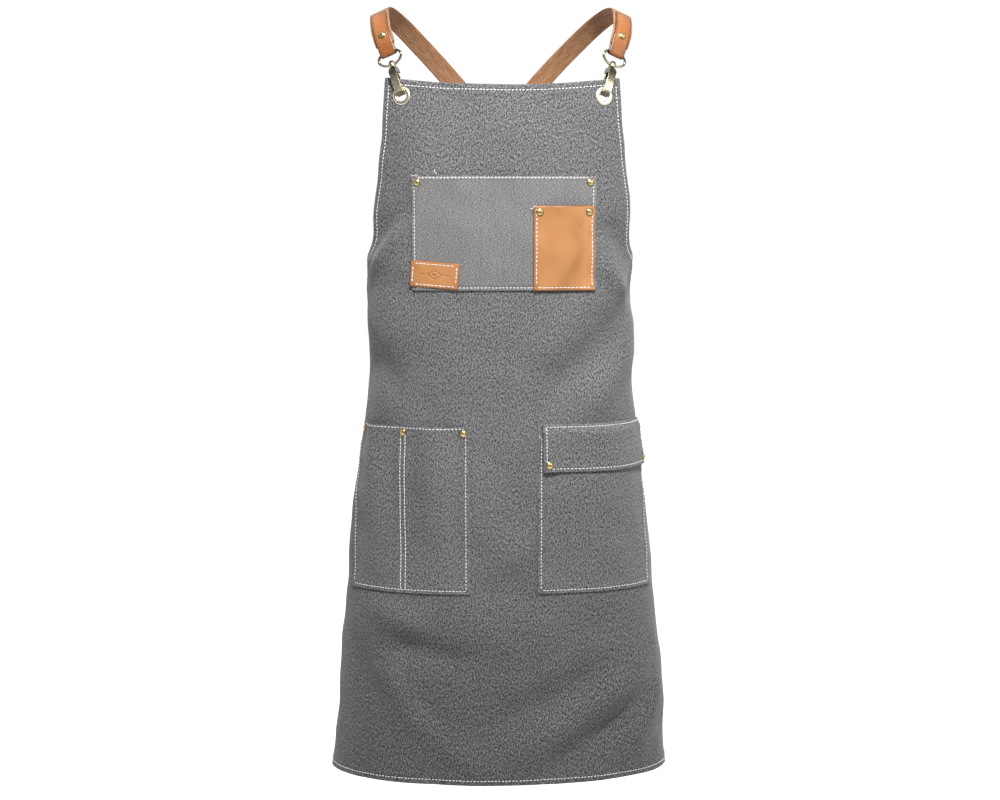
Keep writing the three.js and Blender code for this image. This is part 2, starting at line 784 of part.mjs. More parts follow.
// The torsion spring beside the gate's knuckle, round the pin.
function gateSpringGeometry() {
  const wire = 0.26;
  const turns = 2.5;
  const coilRadius = gatePinRadius + GAP + wire + 0.1;
  const start = gateWidth / 2 - gateWidth * springShare + GAP + wire;
  const end = gateWidth / 2 - wire;
  const points = steps(turns * 8).map((t) => {
    const angle = 2 * Math.PI * turns * t;
    return new THREE.Vector3(
      between(start, end, t),
      gatePinY + coilRadius * Math.cos(angle),
      gatePinZ + coilRadius * Math.sin(angle),
    );
  });
  const section = new THREE.Shape();
  section.absarc(0, 0, wire, 0, 2 * Math.PI, false);
  return new THREE.ExtrudeGeometry(section, {
    steps: turns * 8,
    curveSegments: 2,
    bevelEnabled: false,
    extrudePath: new THREE.CatmullRomCurve3(points),
  });
}

// A hook's own axes: origin in the middle of the ring's bar, Z up the strap, Y inwards.
function hookFrame(s, z, towards) {
  const outward = formNormal(s, z);
  const centre = clothPoint(s, z, -clothThickness / 2);
  const up = towards.clone().sub(centre).normalize();
  const inward = outward.clone().addScaledVector(up, -outward.dot(up)).normalize().negate();
  const side = inward.clone().cross(up);
  const bar = centre.clone().addScaledVector(up, grommetRest).addScaledVector(inward, -clothInHook);
  return { bar, up, inward, side, matrix: new THREE.Matrix4().makeBasis(side, inward, up).setPosition(bar) };
}

function addSnapHook(place, frame, bandWidth) {
  const hook = new THREE.Group();
  addMesh(hook, place + "_swivel_eye", swivelEyeGeometry(bandWidth), ANTIQUE_BRASS);
  addMesh(hook, place + "_hook_body", hookBodyGeometry(), ANTIQUE_BRASS);
  addMesh(hook, place + "_hook_gate", gateGeometry(), ANTIQUE_BRASS);
  addMesh(hook, place + "_gate_pin", gatePinGeometry(), ANTIQUE_BRASS);
  addMesh(hook, place + "_gate_spring", gateSpringGeometry(), SPRING_STEEL);
  hook.applyMatrix4(frame.matrix);
  apron.add(hook);
}

// ---------------------------------------------------------------- straps

// The webbing's route over one shoulder, for the left strap; the right one is its mirror
// image. Each point has the direction that the webbing's outer face looks in.
const crossingOffset = 1.8; // of each strap from the mean surface, where they cross
const shoulderRoute = [
  { p: [-145, -58, -29], n: [-0.28, -0.86, 0.42] },
  { p: [-147.5, -41, -12.5], n: [-0.34, -0.62, 0.7] },
  { p: [-148, -20, -2.2], n: [-0.41, -0.27, 0.87] },
  { p: [-145.5, 2, 0.9], n: [-0.45, 0.02, 0.89] },
  { p: [-138, 28, -0.6], n: [-0.42, 0.3, 0.85] },
  { p: [-121, 60, -13], n: [-0.3, 0.62, 0.72] },
  { p: [-97, 86, -36], n: [-0.18, 0.8, 0.57] },
  { p: [-70, 103, -64], n: [-0.1, 0.9, 0.42] },
  { p: [-35, 112.5, -104], n: [-0.04, 0.97, 0.22] },
  { p: [0, 116, -147], n: [0, 1, 0.06], crossing: true },
  { p: [20, 116, -178], n: [0.05, 1, 0] },
];
const straightTop = [34, 114, -208]; // where the straight stretch down to the rear hook starts

// Points and directions along a strap: place(distance above the rear ring, outward offset).
function strapOf(side) {
  const mirror = ([x, y, z]) => new THREE.Vector3(-side * x, y, z);
  const bibS = side * (bibHalfWidth - grommetInsetSide);
  const bibZ = -bibTopDrop - grommetInsetTop - 5;
  const waistS = -side * (skirtHalfWidth - grommetInsetSide);
  const waistZ = -waistDrop - grommetInsetTop - 4;
  const front = hookFrame(bibS, bibZ, mirror(shoulderRoute[0].p));
  const rear = hookFrame(waistS, waistZ, mirror(straightTop));
  const route = [
    { p: front.bar.clone(), n: front.inward.clone().negate() },
    ...shoulderRoute.map(({ p, n, crossing }) => {
      const point = mirror(p);
      if (crossing) point.y += side * crossingOffset;
      return { p: point, n: mirror(n) };
    }),
  ];
  const last = { p: rear.bar.clone(), n: rear.inward.clone().negate() };
  const lead = mirror(straightTop);
  const length = lead.distanceTo(last.p);
  for (const t of [0, 0.25]) {
    route.push({ p: lead.clone().lerp(last.p, t), n: last.n.clone() });
  }
  const curve = new THREE.CatmullRomCurve3(route.map(({ p }) => p), false, "centripetal");
  const curved = steps(40).map((t) => {
    const at = curve.getUtoTmapping(t);
    const spot = at * (route.length - 1);
    const i = Math.min(Math.floor(spot), route.length - 2);
    const normal = route[i].n.clone().lerp(route[i + 1].n, spot - i);
    return station(curve.getPoint(at), curve.getTangent(at), normal);
  });
  return { side, bibS, bibZ, waistS, waistZ, front, rear, curved, straightLength: 0.75 * length, last };
}

// A cross-section of the strap: its centre, and the directions of its width and outer face.
function station(centre, tangent, normal) {
  const outward = normal.clone().addScaledVector(tangent, -normal.dot(tangent)).normalize();
  return { centre: centre.clone(), outward, across: tangent.clone().cross(outward).normalize() };
}

// A flat band through stations, each moved outwards by its own offset.
function ribbon(list, width, thickness) {
  const face = (lift) =>
    list.map(({ centre, outward, across, offset = 0 }) => {
      const middle = centre.clone().addScaledVector(outward, offset + lift);
      return [-0.5, 0.5].map((t) => middle.clone().addScaledVector(across, t * width));
    });
  return slab(face(thickness / 2), face(-thickness / 2));
}

// The loop of a band round a ring's bar: half a turn at the given radius, seen from the side.
function loopStations(frame, radius, across, count = 8) {
  return steps(count).map((t) => {
    const angle = Math.PI * t;
    const outward = frame.inward
      .clone()
      .multiplyScalar(Math.cos(angle))
      .addScaledVector(frame.up, -Math.sin(angle));
    return { centre: frame.bar.clone().addScaledVector(outward, radius), outward, across: across.clone() };
  });
}

const foldRadius = ringWire + GAP + leatherThickness / 2; // of the leather round the bar
const webbingFold = ringWire + GAP + webbingThickness / 2; // of the webbing round the bar
const layerOffset = webbingThickness / 2 + 0.5; // of each webbing layer where two lie together
const funnelLength = 18; // over which the two layers close up above the ring

// Stations between two distances along the strap's front stretch.
function frontStations(strap, from, to, offset) {
  const found = [];
  let travelled = 0;
  strap.curved.forEach((spot, i) => {
    if (i) travelled += spot.centre.distanceTo(strap.curved[i - 1].centre);
    if (travelled >= from && travelled <= to) found.push({ ...spot, offset });
  });
  return found;
}

function tabGeometry(strap) {
  const outerLeaf = frontStations(strap, 3, tabFrontLength, foldRadius).reverse();
  const innerLeaf = frontStations(strap, 3, tabBackLength, -foldRadius);
  const flipped = innerLeaf.map((spot) => ({
    ...spot,
    outward: spot.outward.clone().negate(),
    across: spot.across.clone(),
    offset: foldRadius,
  }));
  const across = outerLeaf[0].across;
  const fold = loopStations(strap.front, foldRadius, strap.front.side.clone().multiplyScalar(Math.sign(across.x) || 1));
  fold.reverse();
  return ribbon([...outerLeaf, ...fold, ...flipped], tabWidth, leatherThickness);
}

function webbingGeometry(strap) {
  const { rear } = strap;
  const before = frontStations(strap, webbingStart, Infinity, 0);
  const first = before[before.length - 1];
  const across = first.across;
  const onLine = (distance, outwards) => {
    const close = 1 - THREE.MathUtils.smoothstep(distance, 2, funnelLength);
    const gap = between(layerOffset, webbingFold, close);
    const outward = rear.inward.clone().multiplyScalar(-outwards);
    return {
      centre: rear.bar.clone().addScaledVector(rear.up, distance),
      outward,
      across: across.clone(),
      offset: gap,
    };
  };
  const blendLength = 55;
  const settled = before.map((spot, i) => {
    let remaining = 0;
    for (let j = i; j + 1 < before.length; j++) remaining += before[j].centre.distanceTo(before[j + 1].centre);
    const share = 1 - THREE.MathUtils.smoothstep(remaining, 0, blendLength);
    return { ...spot, offset: -layerOffset * share };
  });
  const main = [];
  for (const distance of [60, funnelLength, 14, 10, 6, 2]) {
    if (distance < strap.straightLength) main.push({ ...flip(onLine(distance, -1)) });
  }
  const fold = loopStations(rear, webbingFold, across).map(flip);
  const tail = [2, 6, 10, 14, funnelLength, strapTailLength].map((distance) => flip(onLine(distance, 1)));
  return ribbon([...settled, ...main, ...fold, ...tail], webbingWidth, webbingThickness);

  // Turns a station so that the band's same face stays outermost round the loop.
  function flip(spot) {
    return {
      centre: spot.centre.clone().addScaledVector(spot.outward, spot.offset ?? 0),
      outward: spot.outward.clone().negate(),
      across: spot.across,
      offset: 0,
    };
  }
}

// A slide buckle round both layers of webbing: two rails, two outer bars and an inner bar.
function adjusterGeometry() {
  const reach = layerOffset + webbingThickness / 2 + GAP + adjusterWire / 2;
  const rail = new THREE.BoxGeometry(adjusterWire, 2 * reach + adjusterWire, adjusterHeight);
  const bar = new THREE.BoxGeometry(adjusterWidth, adjusterWire, adjusterWire);
  const railX = (adjusterWidth - adjusterWire) / 2;
  const barZ = (adjusterHeight - adjusterWire) / 2;
  const pieces = [
    rail.clone().translate(-railX, 0, 0),
    rail.clone().translate(railX, 0, 0),
    bar.clone().translate(0, -reach, barZ),
    bar.clone().translate(0, -reach, -barZ),
    bar.clone().translate(0, reach, 0),
  ];
  return geometryOf(pieces.map(solidOf).reduce((whole, piece) => whole.add(piece)));
}

for (const side of [-1, 1]) {
  const name = side < 0 ? "left" : "right";
  const otherName = side < 0 ? "right" : "left";
  const strap = strapOf(side);
  panelTools.push(addGrommet("bib_" + name, strap.bibS, strap.bibZ));
  panelTools.push(addGrommet("waist_" + otherName, strap.waistS, strap.waistZ));
  addSnapHook("bib_" + name, strap.front, tabWidth);
  addSnapHook("waist_" + otherName, strap.rear, webbingWidth);

  const [rivetSpot] = frontStations(strap, tabRivetAt, Infinity, 0);
  const rivetFace = foldRadius + leatherThickness / 2 + rivetSeat;
  const matrix = standing(
    rivetSpot.centre.clone().addScaledVector(rivetSpot.outward, rivetFace),
    rivetSpot.outward,
  );
  const tool = addRivet(name + "_tab_rivet", matrix, 2 * rivetFace);
  addMesh(apron, name + "_strap_tab", bored(tabGeometry(strap), [tool]), TAB_LEATHER);
  addMesh(apron, name + "_strap_webbing", bored(webbingGeometry(strap), [tool]), WEBBING);

  const adjuster = addMesh(apron, name + "_strap_adjuster", adjusterGeometry(), ANTIQUE_BRASS);
  adjuster.applyMatrix4(strap.rear.matrix.clone().multiply(new THREE.Matrix4().makeTranslation(0, 0, adjusterAt)));
}

addMesh(apron, "front_panel", bored(panelGeometry(), panelTools), DENIM);

export default apron;
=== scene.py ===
"""A worn cross-back denim apron: leather-ended webbing straps, snap hooks, grommets and sewn pockets."""

import json
import math

import bmesh
import bpy
import numpy as np
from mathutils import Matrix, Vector


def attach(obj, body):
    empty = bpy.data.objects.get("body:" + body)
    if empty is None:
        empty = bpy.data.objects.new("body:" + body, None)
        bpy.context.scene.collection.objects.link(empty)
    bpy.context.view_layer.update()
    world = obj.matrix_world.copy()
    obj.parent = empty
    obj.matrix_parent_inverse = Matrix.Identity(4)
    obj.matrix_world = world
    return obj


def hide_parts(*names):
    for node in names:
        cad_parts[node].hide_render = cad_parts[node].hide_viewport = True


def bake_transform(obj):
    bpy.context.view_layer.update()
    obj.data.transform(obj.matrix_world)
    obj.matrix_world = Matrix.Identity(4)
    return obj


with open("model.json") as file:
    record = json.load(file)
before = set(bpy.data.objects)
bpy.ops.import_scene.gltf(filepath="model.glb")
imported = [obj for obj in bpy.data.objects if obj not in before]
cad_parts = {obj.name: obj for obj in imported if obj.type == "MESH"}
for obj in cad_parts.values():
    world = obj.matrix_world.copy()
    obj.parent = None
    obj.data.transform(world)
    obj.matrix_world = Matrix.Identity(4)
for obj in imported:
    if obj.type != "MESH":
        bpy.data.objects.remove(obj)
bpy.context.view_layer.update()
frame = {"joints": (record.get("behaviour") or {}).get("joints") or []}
MM = 0.001  # every size below is in millimetres
rng = np.random.default_rng(20)

# ------------------------------------------------------------------ dimensions

CLOTH = 1.0
BIB_TOP = -83.0
BIB_DIP = 9.0
DIP_DEPTH = 110.0
HEM_Z = -942.0
BIB_HALF = 145.0
SKIRT_HALF = 358.0
WAIST = -395.0
CHEST = dict(left=-110.5, right=112.5, top=-201.0, bottom=-337.0, gape=8.0)
PEN = dict(left=35.5, right=110.5, top=-236.0, bottom=-337.0, gape=7.5)
HIP = dict(inner=42.0, width=164.0, top=-503.0, bottom=-706.0, gape=9.0, divider=82.0)
FLAP = dict(left=48.0, right=208.0, top=-500.0, height=57.0, standoff=1.2)
FLAP_SEAM_ROW = 3.0
FLAP_BEND = (5.0, 14.0)  # how far below its top edge the flap's bend starts and ends
FLAP_MIDDLE = 126.0
RIGHT_TOP = -512.0
PATCH = dict(s=-83.0, z=-318.5, width=59.0, height=31.0, thickness=1.4, turn=-4.3)
PATCH_INSET = 3.0
PANEL_ROW = 6.5  # from each edge to its row of stitches
CHEST_ROW = 3.2
PEN_ROW = 3.4
HIP_ROW = 3.8
DIVIDER_HALF = 3  # half the gap between the divider's two rows
SEWN = 12.0
LEATHER = 1.8
SEAM_GAP = 0.55
CORNER = 7.0
WEB_WIDTH = 25.0
WEB_THICK = 1.8
TAIL = 140.0
TAB_WIDTH = 20.5
TAB_FRONT = 64.0
TAB_BACK = 40.0
TAB_RIVET = 23.0
WEB_START = 11.0
RING_WIRE = 1.5
RING_HALF = 15.0
RING_DROP = 15.5
HUB_R = 4.7
HUB_HALF = 3.4
STEM_R = 1.8
HOOK_WIDTH = 9.6
HOOK_THICK = 1.9
BEND_R = 6.0
HOOK_REACH = 47.5
TIP_RISE = 3.0
GATE_WIDTH = 5.8
GATE_THICK = 1.4
GAP = 0.3
ADJUSTER_AT = 105.0
ADJUSTER_BAR = 2.2
ADJUSTER_LENGTH = 19.0

# ------------------------------------------------------------------ the worn form

FORM_Z = np.array([-50, -83, -145, -225, -380, -429, -535, HEM_Z])
FORM = dict(
    half=np.array([165, 165, 165, 165, 165, 162, 173, 211.0]),
    front=np.array([-84, -91, -98.5, -101, -98.5, -98, -100, -113.0]),
    back=np.array([111, 112, 113, 110, 99, 97, 101, 121.0]),
    power=np.array([3.6, 3.5, 3.3, 3.0, 2.6, 2.5, 2.4, 2.2]),
)


def smooth_between(z, values):
    last = len(FORM_Z) - 1
    z = np.clip(z, FORM_Z[-1], FORM_Z[0])
    i = np.clip(np.searchsorted(-FORM_Z, -z, side="left") - 1, 0, last - 1)
    low = np.maximum(np.arange(last + 1) - 1, 0)
    high = np.minimum(np.arange(last + 1) + 1, last)
    slope = (values[high] - values[low]) / (FORM_Z[high] - FORM_Z[low])
    span = FORM_Z[i + 1] - FORM_Z[i]
    t = (z - FORM_Z[i]) / span
    return (
        (2 * t**3 - 3 * t**2 + 1) * values[i]
        + (t**3 - 2 * t**2 + t) * span * slope[i]
        + (3 * t**2 - 2 * t**3) * values[i + 1]
        + (t**3 - t**2) * span * slope[i + 1]
    )


LEVEL_STEP = 2.0
LEVELS = np.arange(HEM_Z - 4, -40, LEVEL_STEP)
REACH = np.arange(0, 402.0)


def form_tables():
    """x and y of the form at each height in LEVELS and each length of cloth in REACH."""
    angle = np.linspace(0, np.pi, 1441)
    xs, ys = [], []
    for z in LEVELS:
        half, front, back, power = (smooth_between(z, FORM[k]) for k in ("half", "front", "back", "power"))
        x = half * np.abs(np.sin(angle)) ** (2 / power)
        y = (front + back) / 2 - (back - front) / 2 * np.sign(np.cos(angle)) * np.abs(
            np.cos(angle)
        ) ** (2 / power)
        length = np.concatenate([[0], np.cumsum(np.hypot(np.diff(x), np.diff(y)))])
        xs.append(np.interp(REACH, length, x))
        ys.append(np.interp(REACH, length, y))
    return np.array(xs), np.array(ys)


X_TABLE, Y_TABLE = form_tables()


def form_point(s, z):
    s, z = np.broadcast_arrays(np.asarray(s, float), np.asarray(z, float))
    column = np.clip(np.abs(s), 0, REACH[-1] - 1e-6)
    row = np.clip((z - LEVELS[0]) / LEVEL_STEP, 0, len(LEVELS) - 1.001)
    i, j = row.astype(int), column.astype(int)
    fi, fj = row - i, column - j

    def look(table):
        upper = table[i, j] * (1 - fj) + table[i, j + 1] * fj
        lower = table[i + 1, j] * (1 - fj) + table[i + 1, j + 1] * fj
        return upper * (1 - fi) + lower * fi

    return np.stack([np.sign(s) * look(X_TABLE), look(Y_TABLE), z], -1)


def unit(v):
    return v / np.maximum(np.linalg.norm(v, axis=-1, keepdims=True), 1e-12)


def form_normal(s, z, reach=3.0):
    across = form_point(s + reach, z) - form_point(s - reach, z)
    up = form_point(s, z + reach) - form_point(s, z - reach)
    return unit(np.cross(across, up))


def travelled(path):
    """Length along a path up to each of its points."""
    return np.concatenate([[0], np.cumsum(np.linalg.norm(np.diff(path, axis=0), axis=1))])


def smoothstep(x, low, high):
    t = np.clip((x - low) / (high - low), 0, 1)
    return t * t * (3 - 2 * t)


# Soft folds in the cloth: (s, z) at each end, half width across, height (valleys are negative).
FOLDS = [
    ((-124, -254), (-176, -322), 8, 5.0),
    ((-116, -232), (-168, -290), 10, -5.0),
    ((120, -300), (164, -344), 9, 5.0),
    ((126, -258), (174, -300), 11, -6.0),
    ((196, -342), (44, -478), 17, -8.5),
    ((206, -386), (92, -500), 16, 4.5),
    ((120, -330), (40, -420), 16, 3.0),
    ((-196, -420), (-112, -446), 18, -5.0),
    ((-180, -360), (-120, -400), 20, 2.5),
    ((-166, -724), (-96, -752), 13, 6.0),
    ((-146, -772), (-34, -792), 12, -6.5),
    ((-158, -798), (-92, -880), 12, 6.0),
    ((-92, -872), (-24, -928), 12, 5.0),
    ((-204, -770), (-150, -868), 15, -4.5),
    ((-120, -836), (-52, -888), 12, -4.0),
    ((200, -790), (2, -922), 15, 7.5),
    ((136, -796), (-24, -880), 15, -6.0),
    ((190, -840), (56, -926), 12, -6.5),
    ((222, -836), (160, -918), 13, 5.0),
    ((150, -730), (60, -776), 16, -4.0),
    ((30, -640), (-14, -690), 14, 3.4),
    ((-26, -690), (78, -726), 17, -3.6),
    ((-20, -540), (24, -620), 18, -2.6),
    ((-230, -700), (-220, -930), 24, -4.0),
    ((-60, -88), (40, -130), 22, 2.0),
    ((60, -100), (112, -190), 20, -2.0),
    ((-250, -560), (-245, -930), 30, 5.0),
    ((255, -560), (262, -930), 30, 5.0),
    ((-310, -440), (-296, -930), 24, -5.0),
    ((310, -440), (300, -930), 24, -5.0),
    ((250, -330), (320, -420), 14, 3.0),
    ((-250, -330), (-320, -420), 14, 3.0),
]
FOLD_GAIN = 1.25
FOLD_LIMIT = 9.5
CALM = [(-122.5, -105), (122.5, -105), (-335.5, -416), (335.5, -416)]  # the grommets
WAVES = [
    (rng.uniform(0, 2 * np.pi), rng.uniform(0, np.pi), length, height)
    for length, height in [
        (190, 0.8), (150, 0.7), (110, 0.6), (84, 0.5), (60, 0.35), (43, 0.24), (31, 0.16), (22, 0.1)
    ]
]


def wrinkle(s, z):
    """How far the cloth stands off the smooth form."""
    s, z = np.broadcast_arrays(np.asarray(s, float), np.asarray(z, float))
    lift = np.zeros(s.shape)
    for (s0, z0), (s1, z1), width, height in FOLDS:
        length = math.hypot(s1 - s0, z1 - z0)
        along = ((s - s0) * (s1 - s0) + (z - z0) * (z1 - z0)) / length**2
        across = ((s - s0) * (z1 - z0) - (z - z0) * (s1 - s0)) / length
        across = across + 0.12 * width * np.sin(7 * along)
        ends = smoothstep(along, -0.25, 0.35) * smoothstep(-along, -1.25, -0.65)
        lift += height * np.exp(-0.5 * (across / width) ** 2) * ends
    lift = np.clip(FOLD_GAIN * lift, -FOLD_LIMIT, FOLD_LIMIT)
    for phase, angle, length, height in WAVES:
        spot = (s * math.cos(angle) + z * math.sin(angle)) / length
        bend = 0.9 * np.sin(
            2 * np.pi * (s * math.sin(angle) - z * math.cos(angle)) / (2.3 * length) + 2 * phase
        )
        lift += height * np.sin(2 * np.pi * spot + phase + bend)
    for s0, z0 in CALM:
        lift *= smoothstep(np.hypot(s - s0, z - z0), 16, 60)
    return lift


def cloth_point(s, z, lift):
    """A point of cloth lifted off the wrinkled form."""
    return form_point(s, z) + form_normal(s, z) * (np.asarray(lift) + wrinkle(s, z))[..., None]


def surface_frame(s, z, lift, reach=2.5):
    """Point, outward normal and direction of +s on a lifted layer; lift is a function of s and z."""
    at = lambda ds, dz: cloth_point(s + ds, z + dz, lift(s + ds, z + dz))
    across = at(reach, 0) - at(-reach, 0)
    up = at(0, reach) - at(0, -reach)
    return at(0, 0), unit(np.cross(across, up)), unit(across)


# ------------------------------------------------------------------ mesh helpers


def mesh_object(name, points, faces, material, uv=None, values=None, smooth=True):
    """points are in millimetres, uv in metres. values is {attribute: one number for each point}."""
    mesh = bpy.data.meshes.new(name)
    mesh.from_pydata((np.asarray(points, float) * MM).tolist(), [], [list(map(int, f)) for f in faces])
    mesh.polygons.foreach_set("use_smooth", [smooth] * len(mesh.polygons))
    if uv is not None:
        layer = mesh.uv_layers.new(name="cloth")
        index = np.zeros(len(mesh.loops), np.int32)
        mesh.loops.foreach_get("vertex_index", index)
        layer.data.foreach_set("uv", np.asarray(uv, np.float32)[index].ravel())
    for key, numbers in (values or {}).items():
        attribute = mesh.attributes.new(key, "FLOAT", "POINT")
        attribute.data.foreach_set("value", np.asarray(numbers, np.float32))
    mesh.materials.append(material)
    mesh.update()
    obj = bpy.data.objects.new(name, mesh)
    bpy.context.scene.collection.objects.link(obj)
    return obj


def place(obj, body, node=None):
    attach(obj, body)
    if node:
        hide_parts(node)
    return obj


def grid_faces(rows, columns, start=0, flip=False):
    r, c = np.meshgrid(np.arange(rows - 1), np.arange(columns - 1), indexing="ij")
    a = (start + r * columns + c).ravel()
    quads = np.stack([a, a + columns, a + columns + 1, a + 1], 1)
    return quads[:, ::-1] if flip else quads


def open_edges(quads, rim):
    """Edges that only one quad uses, apart from the sheet's own rim: the rims of its holes."""
    edges = dict.fromkeys((int(a), int(b)) for quad in quads for a, b in zip(quad, np.roll(quad, -1)))
    border = {(int(a), int(b)) for a, b in zip(rim, np.roll(rim, -1))}
    border |= {(b, a) for a, b in border}
    return [(a, b) for a, b in edges if (b, a) not in edges and (a, b) not in border]


def slab(name, front, back, material, uv, values, round_edge=0.4, keep=None):
    """A closed sheet between two grids of points, with a rounded rim. keep says which cells are not holes."""
    rows, columns = front.shape[:2]
    count = rows * columns
    index = np.arange(count).reshape(rows, columns)
    rim = np.concatenate([index[0, :-1], index[:-1, -1], index[-1, :0:-1], index[:0:-1, 0]])
    r, c = rim // columns, rim % columns
    outward = unit(front[r, c] - front[np.clip(r, 1, rows - 2), np.clip(c, 1, columns - 2)])
    middle = (front[r, c] + back[r, c]) / 2 + outward * round_edge
    points = np.concatenate([front.reshape(-1, 3), back.reshape(-1, 3), middle])
    following = np.roll(rim, -1)
    ring = 2 * count + np.arange(len(rim))
    ring_next = np.roll(ring, -1)
    kept = slice(None) if keep is None else keep.ravel()
    quads = grid_faces(rows, columns)[kept]
    faces = [quads, grid_faces(rows, columns, count, flip=True)[kept]]
    faces.append(np.stack([rim, following, ring_next, ring], 1))
    faces.append(np.stack([ring, ring_next, following + count, rim + count], 1))
    if keep is not None:
        faces.append(np.array([(b, a, a + count, b + count) for a, b in open_edges(quads, rim)]))
    spread = lambda v: np.concatenate([v, v, v[rim]])
    flat = {key: spread(numbers.ravel()) for key, numbers in values.items()}
    obj = mesh_object(name, points, np.concatenate(faces), material, spread(uv.reshape(-1, 2)), flat)
    if keep is not None:
        delete_loose(obj.data)
    return obj


def delete_loose(mesh):
    bm = bmesh.new()
    bm.from_mesh(mesh)
    bmesh.ops.delete(bm, geom=[v for v in bm.verts if not v.link_faces], context="VERTS")
    bm.to_mesh(mesh)
    bm.free()


def cloth_slab(name, s, z, outer, inner, material, values, round_edge=0.4):
    """A sheet of cloth on the form. outer and inner are the lifts of its two faces."""
    uv = np.stack([s, z], -1) * MM
    return slab(name, cloth_point(s, z, outer), cloth_point(s, z, inner), material, uv, values, round_edge)


def sweep_faces(rings, sides):
    """Faces of a tube, ring after ring, with caps at its ends."""
    faces = []
    for i in range(rings - 1):
        for k in range(sides):
            a, b = i * sides + k, i * sides + (k + 1) % sides
            faces.append((a, b, b + sides, a + sides))
    faces.append(tuple(reversed(range(sides))))
    faces.append(tuple((rings - 1) * sides + k for k in range(sides)))
    return faces


def tube(path, radius, sides=10):
    """A round tube along a path: points and faces."""
    path = np.asarray(path, float)
    along = unit(np.gradient(path, axis=0))
    reference = np.array([0.0, 0, 1]) if abs(along[0][2]) < 0.9 else np.array([1.0, 0, 0])
    side = unit(np.cross(along[0], reference))
    points = []
    for spot, ahead in zip(path, along):
        side = unit(side - ahead * np.dot(side, ahead))
        other = np.cross(ahead, side)
        for k in range(sides):
            angle = 2 * np.pi * k / sides
            points.append(spot + radius * (math.cos(angle) * side + math.sin(angle) * other))
    return np.array(points), sweep_faces(len(path), sides)


def lathe(profile, segments=40):
    """A turned solid round Y. Its profile's (radius, y) points close on themselves or on the axis."""
    points, faces, rings = [], [], []
    for radius, y in profile:
        if radius < 1e-6:
            rings.append([len(points)])
            points.append((0, y, 0))
            continue
        rings.append(list(range(len(points), len(points) + segments)))
        for k in range(segments):
            angle = 2 * np.pi * k / segments
            points.append((radius * math.cos(angle), y, -radius * math.sin(angle)))
    for low, high in zip(rings, rings[1:] + ([rings[0]] if len(rings[0]) > 1 else [])):
        for k in range(segments):
            n = (k + 1) % segments
            quad = [low[k % len(low)], low[n % len(low)], high[n % len(high)], high[k % len(high)]]
            face = list(dict.fromkeys(quad))
            if len(face) > 2:
                faces.append(tuple(face))
    return np.array(points, float), faces


def prism(profile, low, high, bevel, segments=2):
    """A solid between two X positions whose outline in (y, z) is profile, with rounded edges."""
    bm = bmesh.new()
    ends = [[bm.verts.new((x, y, z)) for y, z in profile] for x in (low, high)]
    bm.faces.new(ends[0])
    bm.faces.new(ends[1][::-1])
    count = len(profile)
    for i in range(count):
        j = (i + 1) % count
        bm.faces.new((ends[0][i], ends[1][i], ends[1][j], ends[0][j]))
    bmesh.ops.recalc_face_normals(bm, faces=bm.faces)
    sharp = [e for e in bm.edges if e.calc_face_angle(0) > 0.6]
    bmesh.ops.bevel(bm, geom=sharp, offset=bevel, segments=segments, affect="EDGES", clamp_overlap=True)
    bm.verts.index_update()
    points = np.array([v.co[:] for v in bm.verts])
    faces = [tuple(v.index for v in f.verts) for f in bm.faces]
    bm.free()
    return points, faces


def merged(parts):
    """Several (points, faces) shells as one."""
    points, faces, start = [], [], 0
    for p, f in parts:
        points.append(np.asarray(p, float))
        faces += [tuple(int(i) + start for i in face) for face in f]
        start += len(p)
    return np.concatenate(points), faces


def moved(part, matrix):
    points, faces = part
    m = np.array(matrix)
    return np.asarray(points) @ m[:3, :3].T + m[:3, 3], faces


def matrix_of(x, y, z, origin):
    m = np.eye(4)
    m[:3, 0], m[:3, 1], m[:3, 2], m[:3, 3] = x, y, z, origin
    return m


# ------------------------------------------------------------------ materials


